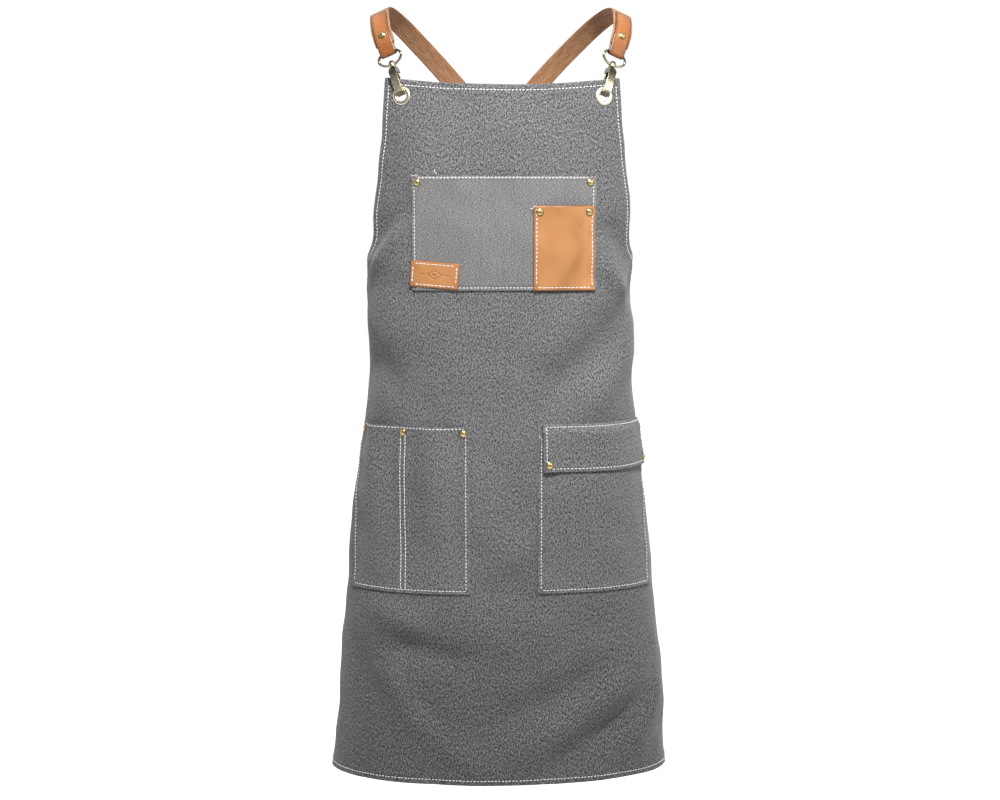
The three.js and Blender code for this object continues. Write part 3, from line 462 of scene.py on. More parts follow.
class Shader:
    """A material's node tree, with short calls for its nodes."""

    def __init__(self, name, roughness=0.5, metallic=0.0, specular=0.5, sheen=0.0, sheen_roughness=0.5):
        self.material = bpy.data.materials.new(name)
        self.material.use_nodes = True
        self.tree = self.material.node_tree
        self.bsdf = self.tree.nodes["Principled BSDF"]
        settings = {
            "Roughness": roughness,
            "Metallic": metallic,
            "Specular IOR Level": specular,
            "Sheen Weight": sheen,
            "Sheen Roughness": sheen_roughness,
        }
        for key, value in settings.items():
            self.bsdf.inputs[key].default_value = value

    def put(self, socket, value):
        if isinstance(value, bpy.types.NodeSocket):
            self.tree.links.new(value, socket)
        else:
            socket.default_value = value

    def node(self, kind, inputs=None, output=0, **settings):
        n = self.tree.nodes.new("ShaderNode" + kind)
        for key, value in settings.items():
            setattr(n, key, value)
        for key, value in (inputs or {}).items():
            self.put(n.inputs[key], value)
        return n.outputs[output]

    def math(self, operation, a, b=0.0, c=0.0, clamp=False):
        return self.node("Math", {0: a, 1: b, 2: c}, operation=operation, use_clamp=clamp)

    def add(self, a, b):
        return self.math("ADD", a, b)

    def times(self, a, b):
        return self.math("MULTIPLY", a, b)

    def about(self, noise, amount):
        """Noise as a swing about zero."""
        return self.times(self.add(noise, -0.5), amount)

    def between(self, value, low, high, to_low=0.0, to_high=1.0):
        return self.node("MapRange", {0: value, 1: low, 2: high, 3: to_low, 4: to_high}, clamp=True)

    def cloth_mm(self):
        uv = self.node("UVMap", uv_map="cloth")
        return self.node("VectorMath", {0: uv, "Scale": 1000.0}, operation="SCALE")

    def scaled(self, vector, x, y, z=1.0, turn=0.0):
        return self.node(
            "Mapping", {0: vector, "Rotation": (0, 0, turn), "Scale": (x, y, z)}, vector_type="POINT"
        )

    def noise(self, vector, scale=1.0, detail=2.0, roughness=0.5, dimensions="2D", distortion=0.0):
        inputs = {
            "Vector": vector, "Scale": scale, "Detail": detail, "Roughness": roughness,
            "Distortion": distortion
        }
        return self.node("TexNoise", inputs, noise_dimensions=dimensions)

    def mix(self, share, a, b, blend="MIX"):
        n = self.tree.nodes.new("ShaderNodeMix")
        n.data_type = "RGBA"
        n.blend_type = blend
        for socket, value in ((n.inputs[0], share), (n.inputs[6], a), (n.inputs[7], b)):
            self.put(
                socket,
                value if isinstance(value, bpy.types.NodeSocket) or np.isscalar(value) else (*value, 1.0)
            )
        return n.outputs[2]

    def value(self, name):
        return self.node("Attribute", attribute_name=name, output=2)

    def finish(self, color, height=None, distance=0.0003, strength=0.5, roughness=None):
        self.put(self.bsdf.inputs["Base Color"], color)
        if roughness is not None:
            self.put(self.bsdf.inputs["Roughness"], roughness)
        if height is not None:
            bump = self.node("Bump", {"Height": height, "Distance": distance, "Strength": strength})
            self.put(self.bsdf.inputs["Normal"], bump)
        return self.material


def denim(name, dark, light, streak=(0.62, 0.30), twill=1.0, contrast=1.0):
    """Salt-and-pepper twill: streak is the grain's frequency across and along the warp, per millimetre."""
    sh = Shader(name, roughness=0.92, specular=0.25, sheen=0.12, sheen_roughness=0.5)
    mm = sh.cloth_mm()
    slub = sh.noise(sh.scaled(mm, streak[0], streak[1], 1, math.radians(14)), 1.0, 6.0, 0.86)
    grain = sh.noise(sh.scaled(mm, streak[0] * 1.2, streak[1] * 2.1, 1, math.radians(-24)), 1.0, 4.0, 0.8)
    line = sh.scaled(mm, 1, 1, 1, math.radians(32))
    x = sh.node("SeparateXYZ", {0: line})
    rib = sh.math("SINE", sh.times(sh.add(x, sh.times(grain, 0.35)), 2 * math.pi / 1.15))
    salt = sh.add(sh.about(slub, 2.3 * contrast), sh.about(grain, 1.7 * contrast))
    salt = sh.add(salt, sh.times(rib, 0.1 * twill))
    broad = sh.noise(sh.scaled(mm, 0.011, 0.006), 1.0, 3.0, 0.55)
    bands = sh.noise(sh.scaled(mm, 0.16, 0.008), 1.0, 2.0, 0.5)
    tone = sh.add(sh.about(broad, 0.16), sh.about(bands, 0.12))
    # the attribute read here lightens the worn edges and darkens the cloth with painted shade
    share = sh.math("ADD", sh.add(sh.add(salt, tone), 0.5), sh.times(sh.value("wear_and_painted_shade"), 0.24), clamp=True)
    color = sh.mix(share, dark, light)
    height = sh.add(sh.times(slub, 0.8), sh.times(rib, 0.4))
    return sh.finish(color, height, distance=0.00012, strength=0.25)


def leather(name, deep, base, pale, roughness=0.42, specular=0.45, cloud=0.03):
    sh = Shader(name, roughness=roughness, specular=specular)
    mm = sh.cloth_mm()
    clouds = sh.noise(sh.scaled(mm, cloud, cloud * 0.8), 1.0, 3.0, 0.5, distortion=0.6)
    fine = sh.noise(sh.scaled(mm, 0.9, 0.9), 1.0, 3.0, 0.6)
    pores = sh.node(
        "TexVoronoi", {"Vector": sh.scaled(mm, 1.35, 1.35), "Scale": 1.0}, feature="SMOOTH_F1",
        voronoi_dimensions="2D"
    )
    tone = sh.add(sh.between(clouds, 0.3, 0.7), sh.about(fine, 0.28))
    color = sh.mix(sh.math("MULTIPLY", tone, 1.0, clamp=True), base, pale)
    edge = sh.value("edge")
    color = sh.mix(sh.math("MULTIPLY", edge, 1.0, clamp=True), color, deep)
    press = sh.value("press")
    color = sh.mix(sh.math("MULTIPLY", press, 0.55, clamp=True), color, deep)
    height = sh.add(sh.times(pores, 0.5), sh.times(fine, 0.6))
    rough = sh.between(fine, 0.2, 0.8, roughness - 0.07, roughness + 0.1)
    return sh.finish(color, height, distance=0.0001, strength=0.35, roughness=rough)


def webbing(name, dark, light):
    """Woven cotton tape: cords run along it, crossed by a finer weft."""
    sh = Shader(name, roughness=0.85, specular=0.2, sheen=0.03, sheen_roughness=0.5)
    mm = sh.cloth_mm()
    split = sh.tree.nodes.new("ShaderNodeSeparateXYZ")
    sh.put(split.inputs[0], mm)
    u, v = split.outputs[0], split.outputs[1]
    cord = sh.math("SINE", sh.times(u, 2 * math.pi / 3.1))
    half = sh.math("FLOOR", sh.times(u, 1 / 3.1))
    weft = sh.math("SINE", sh.add(sh.times(v, 2 * math.pi / 2.0), sh.times(half, math.pi)))
    chevron = sh.math("SINE", sh.times(sh.add(v, sh.math("PINGPONG", u, 6.25)), 2 * math.pi / 3.1))
    fuzz = sh.noise(sh.scaled(mm, 1.7, 0.8), 1.0, 2.0, 0.6)
    patch = sh.noise(sh.scaled(mm, 0.25, 0.06), 1.0, 2.0, 0.5)
    level = sh.add(sh.add(sh.times(cord, 0.11), sh.times(weft, 0.13)), sh.times(chevron, 0.08))
    level = sh.add(level, sh.about(fuzz, 1.8))
    level = sh.add(level, sh.about(patch, 0.7))
    color = sh.mix(sh.math("ADD", level, 0.5, clamp=True), dark, light)
    height = sh.add(sh.add(sh.times(cord, 0.5), sh.times(weft, 0.5)), fuzz)
    return sh.finish(color, height, distance=0.0003, strength=0.6)


def metal(name, dark, bright, roughness=0.28, mottle=0.35, scale=300.0):
    """Plated metal: the attribute shine takes it from its dark to its bright tone; on the hook strips it
    carries a painted highlight and a painted shadow.
    """
    sh = Shader(name, roughness=roughness, metallic=1.0)
    where = sh.node("TexCoord", output=3)
    cloudy = sh.noise(where, scale, 3.0, 0.6, "3D")
    brushed = sh.noise(sh.scaled(where, 1, 1, 0.12), scale * 8, 2.0, 0.5, "3D")
    share = sh.add(sh.value("shine"), sh.about(cloudy, mottle))
    color = sh.mix(sh.math("ADD", share, 0.0, clamp=True), dark, bright)
    rough = sh.between(cloudy, 0.3, 0.7, roughness - 0.06, roughness + 0.12)
    return sh.finish(
        color, sh.add(brushed, sh.times(cloudy, 0.5)), distance=0.00005, strength=0.2, roughness=rough
    )


def thread(name, dark, light):
    sh = Shader(name, roughness=0.8, specular=0.3, sheen=0.2, sheen_roughness=0.4)
    where = sh.node("TexCoord", output=3)
    twist = sh.noise(where, 1400.0, 2.0, 0.6, "3D")
    color = sh.mix(sh.between(twist, 0.3, 0.7), dark, light)
    return sh.finish(color, twist, distance=0.0001, strength=0.4)


DENIM = denim("denim_grey", (0.011, 0.011, 0.0115), (0.181, 0.1795, 0.185), contrast=2.9)
POCKET_DENIM = denim(
    "denim_light", (0.020, 0.0196, 0.0194), (0.236, 0.231, 0.230), streak=(0.55, 0.95), twill=0.5,
    contrast=2.6
)
TAN = leather(
    "leather_tan", (0.20, 0.073, 0.020), (0.285, 0.118, 0.036), (0.385, 0.180, 0.068), roughness=0.42,
    cloud=0.018
)
TAB_TAN = leather(
    "leather_strap", (0.028, 0.010, 0.004), (0.165, 0.053, 0.0125), (0.255, 0.092, 0.024), roughness=0.36
)
WEBBING = webbing("webbing_brown", (0.115, 0.050, 0.023), (0.37, 0.190, 0.098))
THREAD = thread("thread_offwhite", (0.50, 0.495, 0.485), (0.74, 0.735, 0.72))
TAB_THREAD = thread("thread_brown", (0.16, 0.055, 0.018), (0.30, 0.12, 0.045))
ANTIQUE = metal("antique_brass", (0.055, 0.048, 0.037), (0.98, 0.90, 0.64), roughness=0.25, mottle=0.16)
GROMMET_BRASS = metal("grommet_brass", (0.14, 0.11, 0.06), (0.96, 0.86, 0.66), roughness=0.32, mottle=0.06)
RIVET_BRASS = metal("rivet_brass", (0.12, 0.085, 0.03), (0.70, 0.55, 0.24), roughness=0.25, mottle=0.3)
STEEL = metal("spring_steel", (0.35, 0.35, 0.35), (0.7, 0.7, 0.7), roughness=0.25, mottle=0.1)

# ------------------------------------------------------------------ the panel's outline


def spline_at(points, t, alpha):
    """Catmull-Rom curve through points, at parameters t counted in points."""
    padded = np.concatenate([[2 * points[0] - points[1]], points, [2 * points[-1] - points[-2]]])
    i = np.minimum(t.astype(int), len(points) - 2)
    f = (t - i)[:, None]
    p0, p1, p2, p3 = padded[i], padded[i + 1], padded[i + 2], padded[i + 3]
    gaps = (np.linalg.norm(b - a, axis=1) for a, b in ((p0, p1), (p1, p2), (p2, p3)))
    d0, d1, d2 = (np.maximum(gap, 1e-6)[:, None] ** alpha for gap in gaps)
    m1 = ((p1 - p0) / d0 - (p2 - p0) / (d0 + d1) + (p2 - p1) / d1) * d1
    m2 = ((p2 - p1) / d1 - (p3 - p1) / (d1 + d2) + (p3 - p2) / d2) * d1
    start = (2 * f**3 - 3 * f**2 + 1) * p1 + (f**3 - 2 * f**2 + f) * m1
    return start + (3 * f**2 - 2 * f**3) * p2 + (f**3 - f**2) * m2


def dense_steps(points):
    return np.linspace(0, len(points) - 1, 40 * (len(points) - 1) + 1)


def spline(points, count):
    """Evenly spaced positions on a curve through points, and the parameter (in points) of each."""
    points = np.asarray(points, float)
    dense = dense_steps(points)
    length = travelled(spline_at(points, dense, 0.5))
    t = np.interp(np.linspace(0, length[-1], count), length, dense)
    return spline_at(points, t, 0.5), t


ARMHOLE = [(145, -83), (153, -155), (168, -235), (180, -283), (225.9, -315), (SKIRT_HALF, WAIST)]
ARMHOLE = np.array(ARMHOLE, float)
EDGE = spline_at(ARMHOLE, dense_steps(ARMHOLE), 0.0)
FOOT_R = 16.0


def half_width(z):
    z = np.asarray(z, float)
    half = np.where(z <= WAIST, SKIRT_HALF, np.interp(-z, -EDGE[:, 1], EDGE[:, 0]))
    rise = np.clip(FOOT_R - (z - HEM_Z), 0, FOOT_R)
    return half - (FOOT_R - np.sqrt(np.maximum(FOOT_R**2 - rise**2, 0.0)))


def sag(share, z):
    fade = np.clip(1 + (z - BIB_TOP) / DIP_DEPTH, 0, 1)
    return BIB_DIP * (1 - share**2) * fade**2


def outline(inset):
    """The panel's edge in (s, z), moved inwards: left hem corner, up over the bib and down to the right."""
    z = np.concatenate(
        [np.linspace(HEM_Z + inset, WAIST, 200), np.linspace(WAIST, BIB_TOP - inset, 300)[1:]]
    )
    s = half_width(z)
    normal = np.stack([np.gradient(z), -np.gradient(s)], 1)
    side = np.stack([s, z], 1) - inset * unit(normal)
    side = side[(side[:, 1] < BIB_TOP - inset) & (side[:, 1] > HEM_Z + inset)]
    top_s = np.linspace(side[-1, 0], -side[-1, 0], 120)
    top = np.stack([top_s, BIB_TOP - inset - sag(top_s / BIB_HALF, BIB_TOP)], 1)
    hem_s = np.linspace(-side[0, 0], side[0, 0], 200)
    hem = np.stack([hem_s, np.full(200, HEM_Z + inset)], 1)
    return side, top, side[::-1] * [-1, 1], hem


def edge_distance(s, z, sides):
    """Distance from each point to the nearest of the given (s, z) paths."""
    points = np.concatenate(sides)
    flat = np.stack([s.ravel(), z.ravel()], 1)
    found = np.empty(len(flat))
    for i in range(0, len(flat), 4000):
        gap = flat[i : i + 4000, None] - points[None]
        found[i : i + 4000] = np.sqrt((gap**2).sum(-1).min(1))
    return found.reshape(s.shape)


# ------------------------------------------------------------------ sewing

STITCH = np.array([-0.5, -0.34, -0.12, 0.12, 0.34, 0.5])


def path_frames(path, lift, distances):
    """Surface points and normals at distances along an (s, z) path on a lifted layer."""
    length = travelled(path)
    s, z = (np.interp(distances, length, path[:, k]) for k in (0, 1))
    point, normal, _ = surface_frame(s, z, lift, 1.5)
    return point, normal


def stitch_shell(centres, normals, radius):
    """One thread of each row: centres and normals are (rows, len(STITCH), 3)."""
    rows, steps = centres.shape[:2]
    along = unit(centres[:, -1] - centres[:, 0])[:, None]
    across = unit(np.cross(along, normals))
    shape = radius * np.array([0.55, 0.92, 1.0, 1.0, 0.92, 0.55])[None, :, None, None]
    angle = np.arange(6) * np.pi / 3
    ring = across[:, :, None] * np.cos(angle)[:, None] * shape + normals[
        :, :, None
    ] * np.sin(angle)[:, None] * shape * 0.85
    points = (centres[:, :, None] + ring).reshape(-1, 3)
    one = sweep_faces(steps, 6)
    faces = [tuple(k + r * steps * 6 for k in face) for r in range(rows) for face in one]
    return points, faces


def stitch_path(path, lift, pitch=4.3, length=3.35, radius=0.53, start=2.0):
    path = np.asarray(path, float)
    total = travelled(path)[-1]
    middle = np.arange(start + length / 2, total - length / 2, pitch)
    middle = middle + rng.normal(0, 0.12, len(middle))
    spots = np.clip(middle[:, None] + STITCH[None] * length, 0, total)
    point, normal = path_frames(path, lift, spots)
    rise = radius * np.array([-0.75, 0.15, 0.5, 0.5, 0.15, -0.75])[None, :, None]
    return stitch_shell(point + normal * rise, normal, radius)


def tail_end(s, z, lift, turn, length=10.0, radius=0.36):
    """A loose end of thread lying on the cloth."""
    t = np.linspace(0, 1, 12)
    bend = turn + 1.3 * np.sin(3.1 * t)
    step = length / 11
    path_s, path_z = s + np.cumsum(np.cos(bend)) * step, z + np.cumsum(np.sin(bend)) * step
    point, normal, _ = surface_frame(path_s, path_z, lift)
    return tube(point + normal * (radius + 0.3 + 0.9 * np.sin(np.pi * t))[:, None], radius, 6)


def sewn(name, shells, material):
    return place(mesh_object(name, *merged(shells), material), "apron")


def rectangle(left, right, top, bottom, inset):
    """Stitch paths down a pocket's left side, along its bottom and up its right side."""
    low, high, foot = left + inset, right - inset, bottom + inset
    corners = [(low, top), (low, foot), (high, foot), (high, top)]
    return [refined(path) for path in zip(corners, corners[1:])]


def refined(path, step=3.0):
    path = np.asarray(path, float)
    pieces = [path[:1]]
    for a, b in zip(path, path[1:]):
        count = max(2, int(np.linalg.norm(b - a) / step) + 1)
        pieces.append(a + (b - a) * np.linspace(0, 1, count)[1:, None])
    return np.concatenate(pieces)


# ------------------------------------------------------------------ the front panel

FLAT = lambda s, z: np.zeros(np.broadcast(s, z).shape)


def hem_relief(gap, along, stitch_at, deep=0.4, width=12.0):
    """How a turned and sewn edge stands up: a ridge, the stitch line's groove and its puckers."""
    near = 1 - smoothstep(gap, width, width + 2.5)
    groove = np.exp(-0.5 * ((gap - stitch_at) / 1.1) ** 2)
    pucker = 0.24 * np.sin(
        2 * np.pi * along / 9.0 + 1.7 * np.sin(along / 23.0)
    ) * np.exp(-0.5 * ((gap - stitch_at) / 5.0) ** 2)
    return near * (0.45 + pucker) - deep * groove


def spread_rows(marks, steps):
    """Values between marks, each stretch cut into about its own step."""
    found = [np.array(marks[:1], float)]
    for low, high, step in zip(marks, marks[1:], steps):
        found.append(np.linspace(low, high, max(2, int(abs(high - low) / step) + 1))[1:])
    return np.concatenate(found)


def front_panel():
    z_rows = spread_rows(
        [BIB_TOP, BIB_TOP - 16, BIB_TOP - 40, -380, -450, HEM_Z + 30, HEM_Z + 15, HEM_Z + 0.8],
        [1.4, 3, 4, 3.4, 4.4, 3, 1.4]
    )
    shares = spread_rows([0, 0.88, 0.955, 1.0], [0.0125, 0.0085, 0.0042])
    shares = np.concatenate([-shares[:0:-1], shares])
    z, share = np.meshgrid(z_rows, shares, indexing="ij")
    s = share * half_width(z)
    z = z - sag(share, z)
    side, top, other, hem = outline(0)
    gap = edge_distance(s, z, [side, top, other, hem])
    along = np.where(np.abs(share) > 0.85, z, s)
    outer = hem_relief(gap, along, 7.0)
    inner = -CLOTH - 0.75 * (1 - smoothstep(gap, 13.0, 14.2))
    front, back = cloth_point(s, z, outer), cloth_point(s, z, inner)
    # lighter at the worn edges, darker along the stitch row's groove, and light and dark in turns along the
    # edges as painted shade of the puckers
    wear_and_shade = 0.55 * np.exp(-((gap / 1.3) ** 2)) - 0.5 * np.exp(-(((gap - 7.0) / 1.3) ** 2))
    wear_and_shade = wear_and_shade + 0.3 * (1 - smoothstep(gap, 2, 14)) * np.sin(along / 2.3)
    # painted shade: the cloth is darker towards the hem and at the bib's top
    wear_and_shade = wear_and_shade - 1.15 * smoothstep(-z, 540, 930) - 0.5 * smoothstep(z, -230, -90)
    return s, z, front, back, wear_and_shade


def drill(s, z, front, back, centres, radius=8.6):
    """Which cells of the grid to leave out round each hole; the cells beside it are drawn to its rim."""
    rows, columns = s.shape
    keep = np.ones((rows - 1, columns - 1), bool)
    middle_s = (s[:-1, :-1] + s[1:, 1:]) / 2
    middle_z = (z[:-1, :-1] + z[1:, 1:]) / 2
    for s0, z0 in centres:
        gone = np.hypot(middle_s - s0, middle_z - z0) <= radius
        keep &= ~gone
        touched = np.zeros((rows, columns), bool)
        for dr in (0, 1):
            for dc in (0, 1):
                touched[dr : rows - 1 + dr, dc : columns - 1 + dc] |= gone
        away = np.hypot(s - s0, z - z0)
        pull = touched & (away > 0.5)
        scale = np.where(pull, radius / np.maximum(away, 0.5), 1.0)
        s[:] = np.where(pull, s0 + (s - s0) * scale, s)
        z[:] = np.where(pull, z0 + (z - z0) * scale, z)
    on_rim = np.zeros(s.shape, bool)
    for s0, z0 in centres:
        on_rim |= np.abs(np.hypot(s - s0, z - z0) - radius) < 0.01
    for grid, lift in ((front, 0), (back, -CLOTH)):
        grid[on_rim] = cloth_point(s, z, lift)[on_rim]
    return keep


s, z, front, back, wear_and_shade = front_panel()
keep = drill(s, z, front, back, CALM)
panel = slab("front_panel_cloth", front, back, DENIM, np.stack([s, z], -1) * MM, {"wear_and_painted_shade": wear_and_shade}, 0.5, keep)
place(panel, "apron", "front_panel")
side, top, other, hem = outline(PANEL_ROW)
panel_stitches = sewn(
    "front_panel_stitching", [stitch_path(p, FLAT) for p in (side, top, other, hem)], THREAD
)
levels = np.linspace(HEM_Z, BIB_TOP, 600)
float(np.trapz(2 * half_width(levels), levels)) * MM * MM

# ------------------------------------------------------------------ pockets


def gape(across, width, v, height):
    u = (across - SEWN) / (width - 2 * SEWN)
    inside = (u > 0) & (u < 1) & (v < 1)
    u = np.clip(u, 0, 1)
    return np.where(inside, height * np.sin(np.pi * u) ** 1.5 * (1 - np.clip(v, 0, 1) ** 2.4), 0.0)


def chest_lift(s, z):
    v = (CHEST["top"] - z) / (CHEST["top"] - CHEST["bottom"])
    return SEAM_GAP + gape(s - CHEST["left"], CHEST["right"] - CHEST["left"], v, CHEST["gape"])


def on_chest(s, z):
    return chest_lift(s, z) + CLOTH


def pen_lift(s, z):
    v = (PEN["top"] - z) / (PEN["top"] - PEN["bottom"])
    return on_chest(s, z) + SEAM_GAP + gape(s - PEN["left"], PEN["right"] - PEN["left"], v, PEN["gape"])


def left_hip_lift(s, z):
    across = -s - HIP["inner"]
    v = (HIP["top"] - z) / (HIP["top"] - HIP["bottom"])
    inner = gape(across, HIP["divider"], v, HIP["gape"])
    outer = gape(across - HIP["divider"], HIP["width"] - HIP["divider"], v, HIP["gape"])
    return SEAM_GAP + inner + outer


def right_hip_lift(s, z):
    v = (RIGHT_TOP - z) / (RIGHT_TOP - HIP["bottom"])
    return SEAM_GAP + gape(s - HIP["inner"], HIP["width"], v, HIP["gape"])


def flap_lift(s, z):
    down = (FLAP["top"] - z) / (FLAP["top"] - RIGHT_TOP)
    over = smoothstep(down, 0, 0.85)
    end = 3.2 * np.exp(-(((s - FLAP["left"]) / 16) ** 2)) + 1.0 * np.exp(
        -(((s - FLAP["right"] + CORNER) / 16) ** 2)
    )
    return SEAM_GAP + (right_hip_lift(s, z) + CLOTH + FLAP["standoff"] + end - SEAM_GAP) * over


def above(lift, thickness):
    return lambda s, z: lift(s, z) + thickness


def edged_columns(left, right, step=2.6, fine=1.0, margin=9.0, extra=()):
    marks = sorted({left, left + margin, right - margin, right, *extra})
    steps = [
        fine if i in (0, len(marks) - 2) or abs(b - a) < 2.5 * margin else step for i,
        (a, b) in enumerate(zip(marks, marks[1:]))
    ]
    return spread_rows(marks, steps)


def sewn_gap(s, z, left, right, bottom):
    """Distance to the nearest of a pocket's three sewn sides."""
    return np.minimum(np.minimum(s - left, right - s), z - bottom)


def cloth_pocket(node, left, right, top, bottom, lift, material, hem=13.0, lines=()):
    columns = edged_columns(left, right, extra=[x for line in lines for x in (line - 5, line + 5)])
    rows = spread_rows([top, top - hem - 3, bottom + 9, bottom], [1.1, 3.0, 1.0])
    z, s = np.meshgrid(rows, columns, indexing="ij")
    sides = sewn_gap(s, z, left, right, bottom)
    outer = lift(s, z) + CLOTH + hem_relief(
        sides, np.where(z - bottom < 8, s, z), 3.4, deep=0.35, width=7.0
    ) * 0.8
    outer = outer + 0.4 * (1 - smoothstep(top - z, hem, hem + 2)) - 0.2 * np.exp(
        -(((top - z - hem + 1.5) / 1.0) ** 2)
    )
    for line in lines:
        outer = outer - 0.35 * np.exp(-(((s - line) / 1.4) ** 2))
    gap = np.minimum(sides, top - z)
    # lighter at the worn edges, darker along the stitch row's groove, and light and dark in turns near the
    # sides as painted shade of the puckers
    wear_and_shade = 0.6 * np.exp(-((gap / 1.2) ** 2)) - 0.5 * np.exp(
        -(((sides - 3.4) / 1.1) ** 2)
    ) + 0.15 * np.sin(s / 2.1) * np.exp(-((sides / 8) ** 2))
    obj = cloth_slab(node + "_cloth", s, z, outer, lift(s, z), material, {"wear_and_painted_shade": wear_and_shade})
    return place(obj, "apron", node)


def thick_leather(name, s, z, outer, inner, gap, press, node):
    lowered = 0.9 * np.exp(-((np.maximum(gap, 0) / 0.6) ** 2))
    values = {"edge": np.exp(-((gap / 0.9) ** 2)), "press": press}
    obj = cloth_slab(name, s, z, outer - lowered * 0.5 - 0.3 * press, inner, TAN, values, round_edge=0.5)
    return place(obj, "apron", node)


chest = cloth_pocket(
    "chest_pocket", CHEST["left"], CHEST["right"], CHEST["top"], CHEST["bottom"], chest_lift, POCKET_DENIM,
    hem=3.0
)
face = above(chest_lift, CLOTH)
paths = rectangle(CHEST["left"], CHEST["right"], CHEST["top"] - 1, CHEST["bottom"], CHEST_ROW)
paths.append(refined([(CHEST["left"] + 2, CHEST["top"] - 1.6), (CHEST["right"] - 2, CHEST["top"] - 1.6)]))
shells = [stitch_path(p, face) for p in paths]
shells += [tail_end(-102, -200, face, 2.3, 8), tail_end(-80, -199, face, 1.1, 6)]
chest_stitches = sewn("chest_pocket_stitching", shells, THREAD)

rows = spread_rows([PEN["top"], PEN["top"] - 5, PEN["bottom"] + 5, PEN["bottom"]], [0.6, 1.8, 0.6])
columns = spread_rows([PEN["left"], PEN["left"] + 5, PEN["right"] - 5, PEN["right"]], [0.6, 1.8, 0.6])
z, s = np.meshgrid(rows, columns, indexing="ij")
sides = sewn_gap(s, z, PEN["left"], PEN["right"], PEN["bottom"])
gap = np.minimum(sides, PEN["top"] - z)
press = np.exp(-(((sides - PEN_ROW) / 0.7) ** 2))
pen = thick_leather(
    "pen_pocket_leather", s, z, pen_lift(s, z) + LEATHER, pen_lift(s, z), gap, press, "pen_pocket"
)
face = above(pen_lift, LEATHER)
paths = rectangle(PEN["left"], PEN["right"], PEN["top"] - 2, PEN["bottom"], PEN_ROW)
pen_stitches = sewn(
    "pen_pocket_stitching",
    [stitch_path(p, face, pitch=5.0, length=4.0) for p in paths] + [tail_end(38, -237, face, 2.6, 7)],
    THREAD,
)

# ------------------------------------------------------------------ leather patch

turn = math.radians(PATCH["turn"])
half_w, half_h = PATCH["width"] / 2, PATCH["height"] / 2
down, across = np.meshgrid(
    np.linspace(half_h, -half_h, 63), np.linspace(-half_w, half_w, 119), indexing="ij"
)


def patch_spot(across, up):
    return (
        PATCH["s"] + across * math.cos(turn) - up * math.sin(turn),
        PATCH["z"] + across * math.sin(turn) + up * math.cos(turn),
    )


def line_press(distance, width=0.8):
    return np.exp(-((distance / width) ** 2))


s, z = patch_spot(across, down)
gap = np.minimum(half_w - np.abs(across), half_h - np.abs(down))
diamond = np.abs(across) / 9.0 + np.abs(down) / 5.2
mark = np.maximum(line_press((diamond - 1) * 4.6), 0.75 * (1 - smoothstep(diamond, 0.35, 0.5)))
bars = line_press(down, 0.9) * smoothstep(np.abs(across), 11.5, 12.5) * (
    1 - smoothstep(np.abs(across), 17.5, 18.5)
)
mark = np.maximum(mark, bars)
press = np.maximum(mark, 0.8 * line_press(gap - PATCH_INSET, 0.6))
base_lift = on_chest(s, z) + SEAM_GAP
patch = thick_leather(
    "leather_patch_piece", s, z, base_lift + PATCH["thickness"] - 0.25 * mark, base_lift, gap, press,
    "leather_patch"
)
row_w, row_h = half_w - PATCH_INSET, half_h - PATCH_INSET
turns = ((-1, 1), (1, 1), (1, -1), (-1, -1), (-1, 1))
corners = [patch_spot(row_w * a, row_h * b) for a, b in turns]
face = above(on_chest, SEAM_GAP + PATCH["thickness"])
patch_stitches = sewn(
    "leather_patch_stitching", [
        stitch_path(refined([a, b]), face, pitch=4.8, length=3.9) for a, b in zip(corners, corners[1:])
    ], THREAD
)

# ------------------------------------------------------------------ hip pockets and the flap

outer_s = HIP["inner"] + HIP["width"]
divider = -HIP["inner"] - HIP["divider"]
left_hip = cloth_pocket(
    "left_hip_pocket", -outer_s, -HIP["inner"], HIP["top"], HIP["bottom"], left_hip_lift, DENIM,
    hem=3.0, lines=(divider - DIVIDER_HALF, divider + DIVIDER_HALF)
)
face = above(left_hip_lift, CLOTH)
paths = rectangle(-outer_s, -HIP["inner"], HIP["top"] - 1, HIP["bottom"], HIP_ROW)
paths += [refined([(-outer_s + 3, HIP["top"] - 1.9), (-HIP["inner"] - 3, HIP["top"] - 1.9)])]
for shift in (-DIVIDER_HALF, DIVIDER_HALF):
    paths.append(refined([(divider + shift, HIP["top"] - 4), (divider + shift, HIP["bottom"] + 4)]))
left_stitches = sewn("left_hip_pocket_stitching", [stitch_path(p, face) for p in paths], THREAD)

right_hip = cloth_pocket(
    "right_hip_pocket", HIP["inner"], outer_s, RIGHT_TOP, HIP["bottom"], right_hip_lift, DENIM
)
face = above(right_hip_lift, CLOTH)
shells = [
    stitch_path(p, face) for p in rectangle(HIP["inner"], outer_s, RIGHT_TOP - 2, HIP["bottom"], HIP_ROW)
]
shells.append(tail_end(HIP["inner"] + 4, RIGHT_TOP - 7, face, 1.2, 6))
right_stitches = sewn("right_hip_pocket_stitching", shells, THREAD)

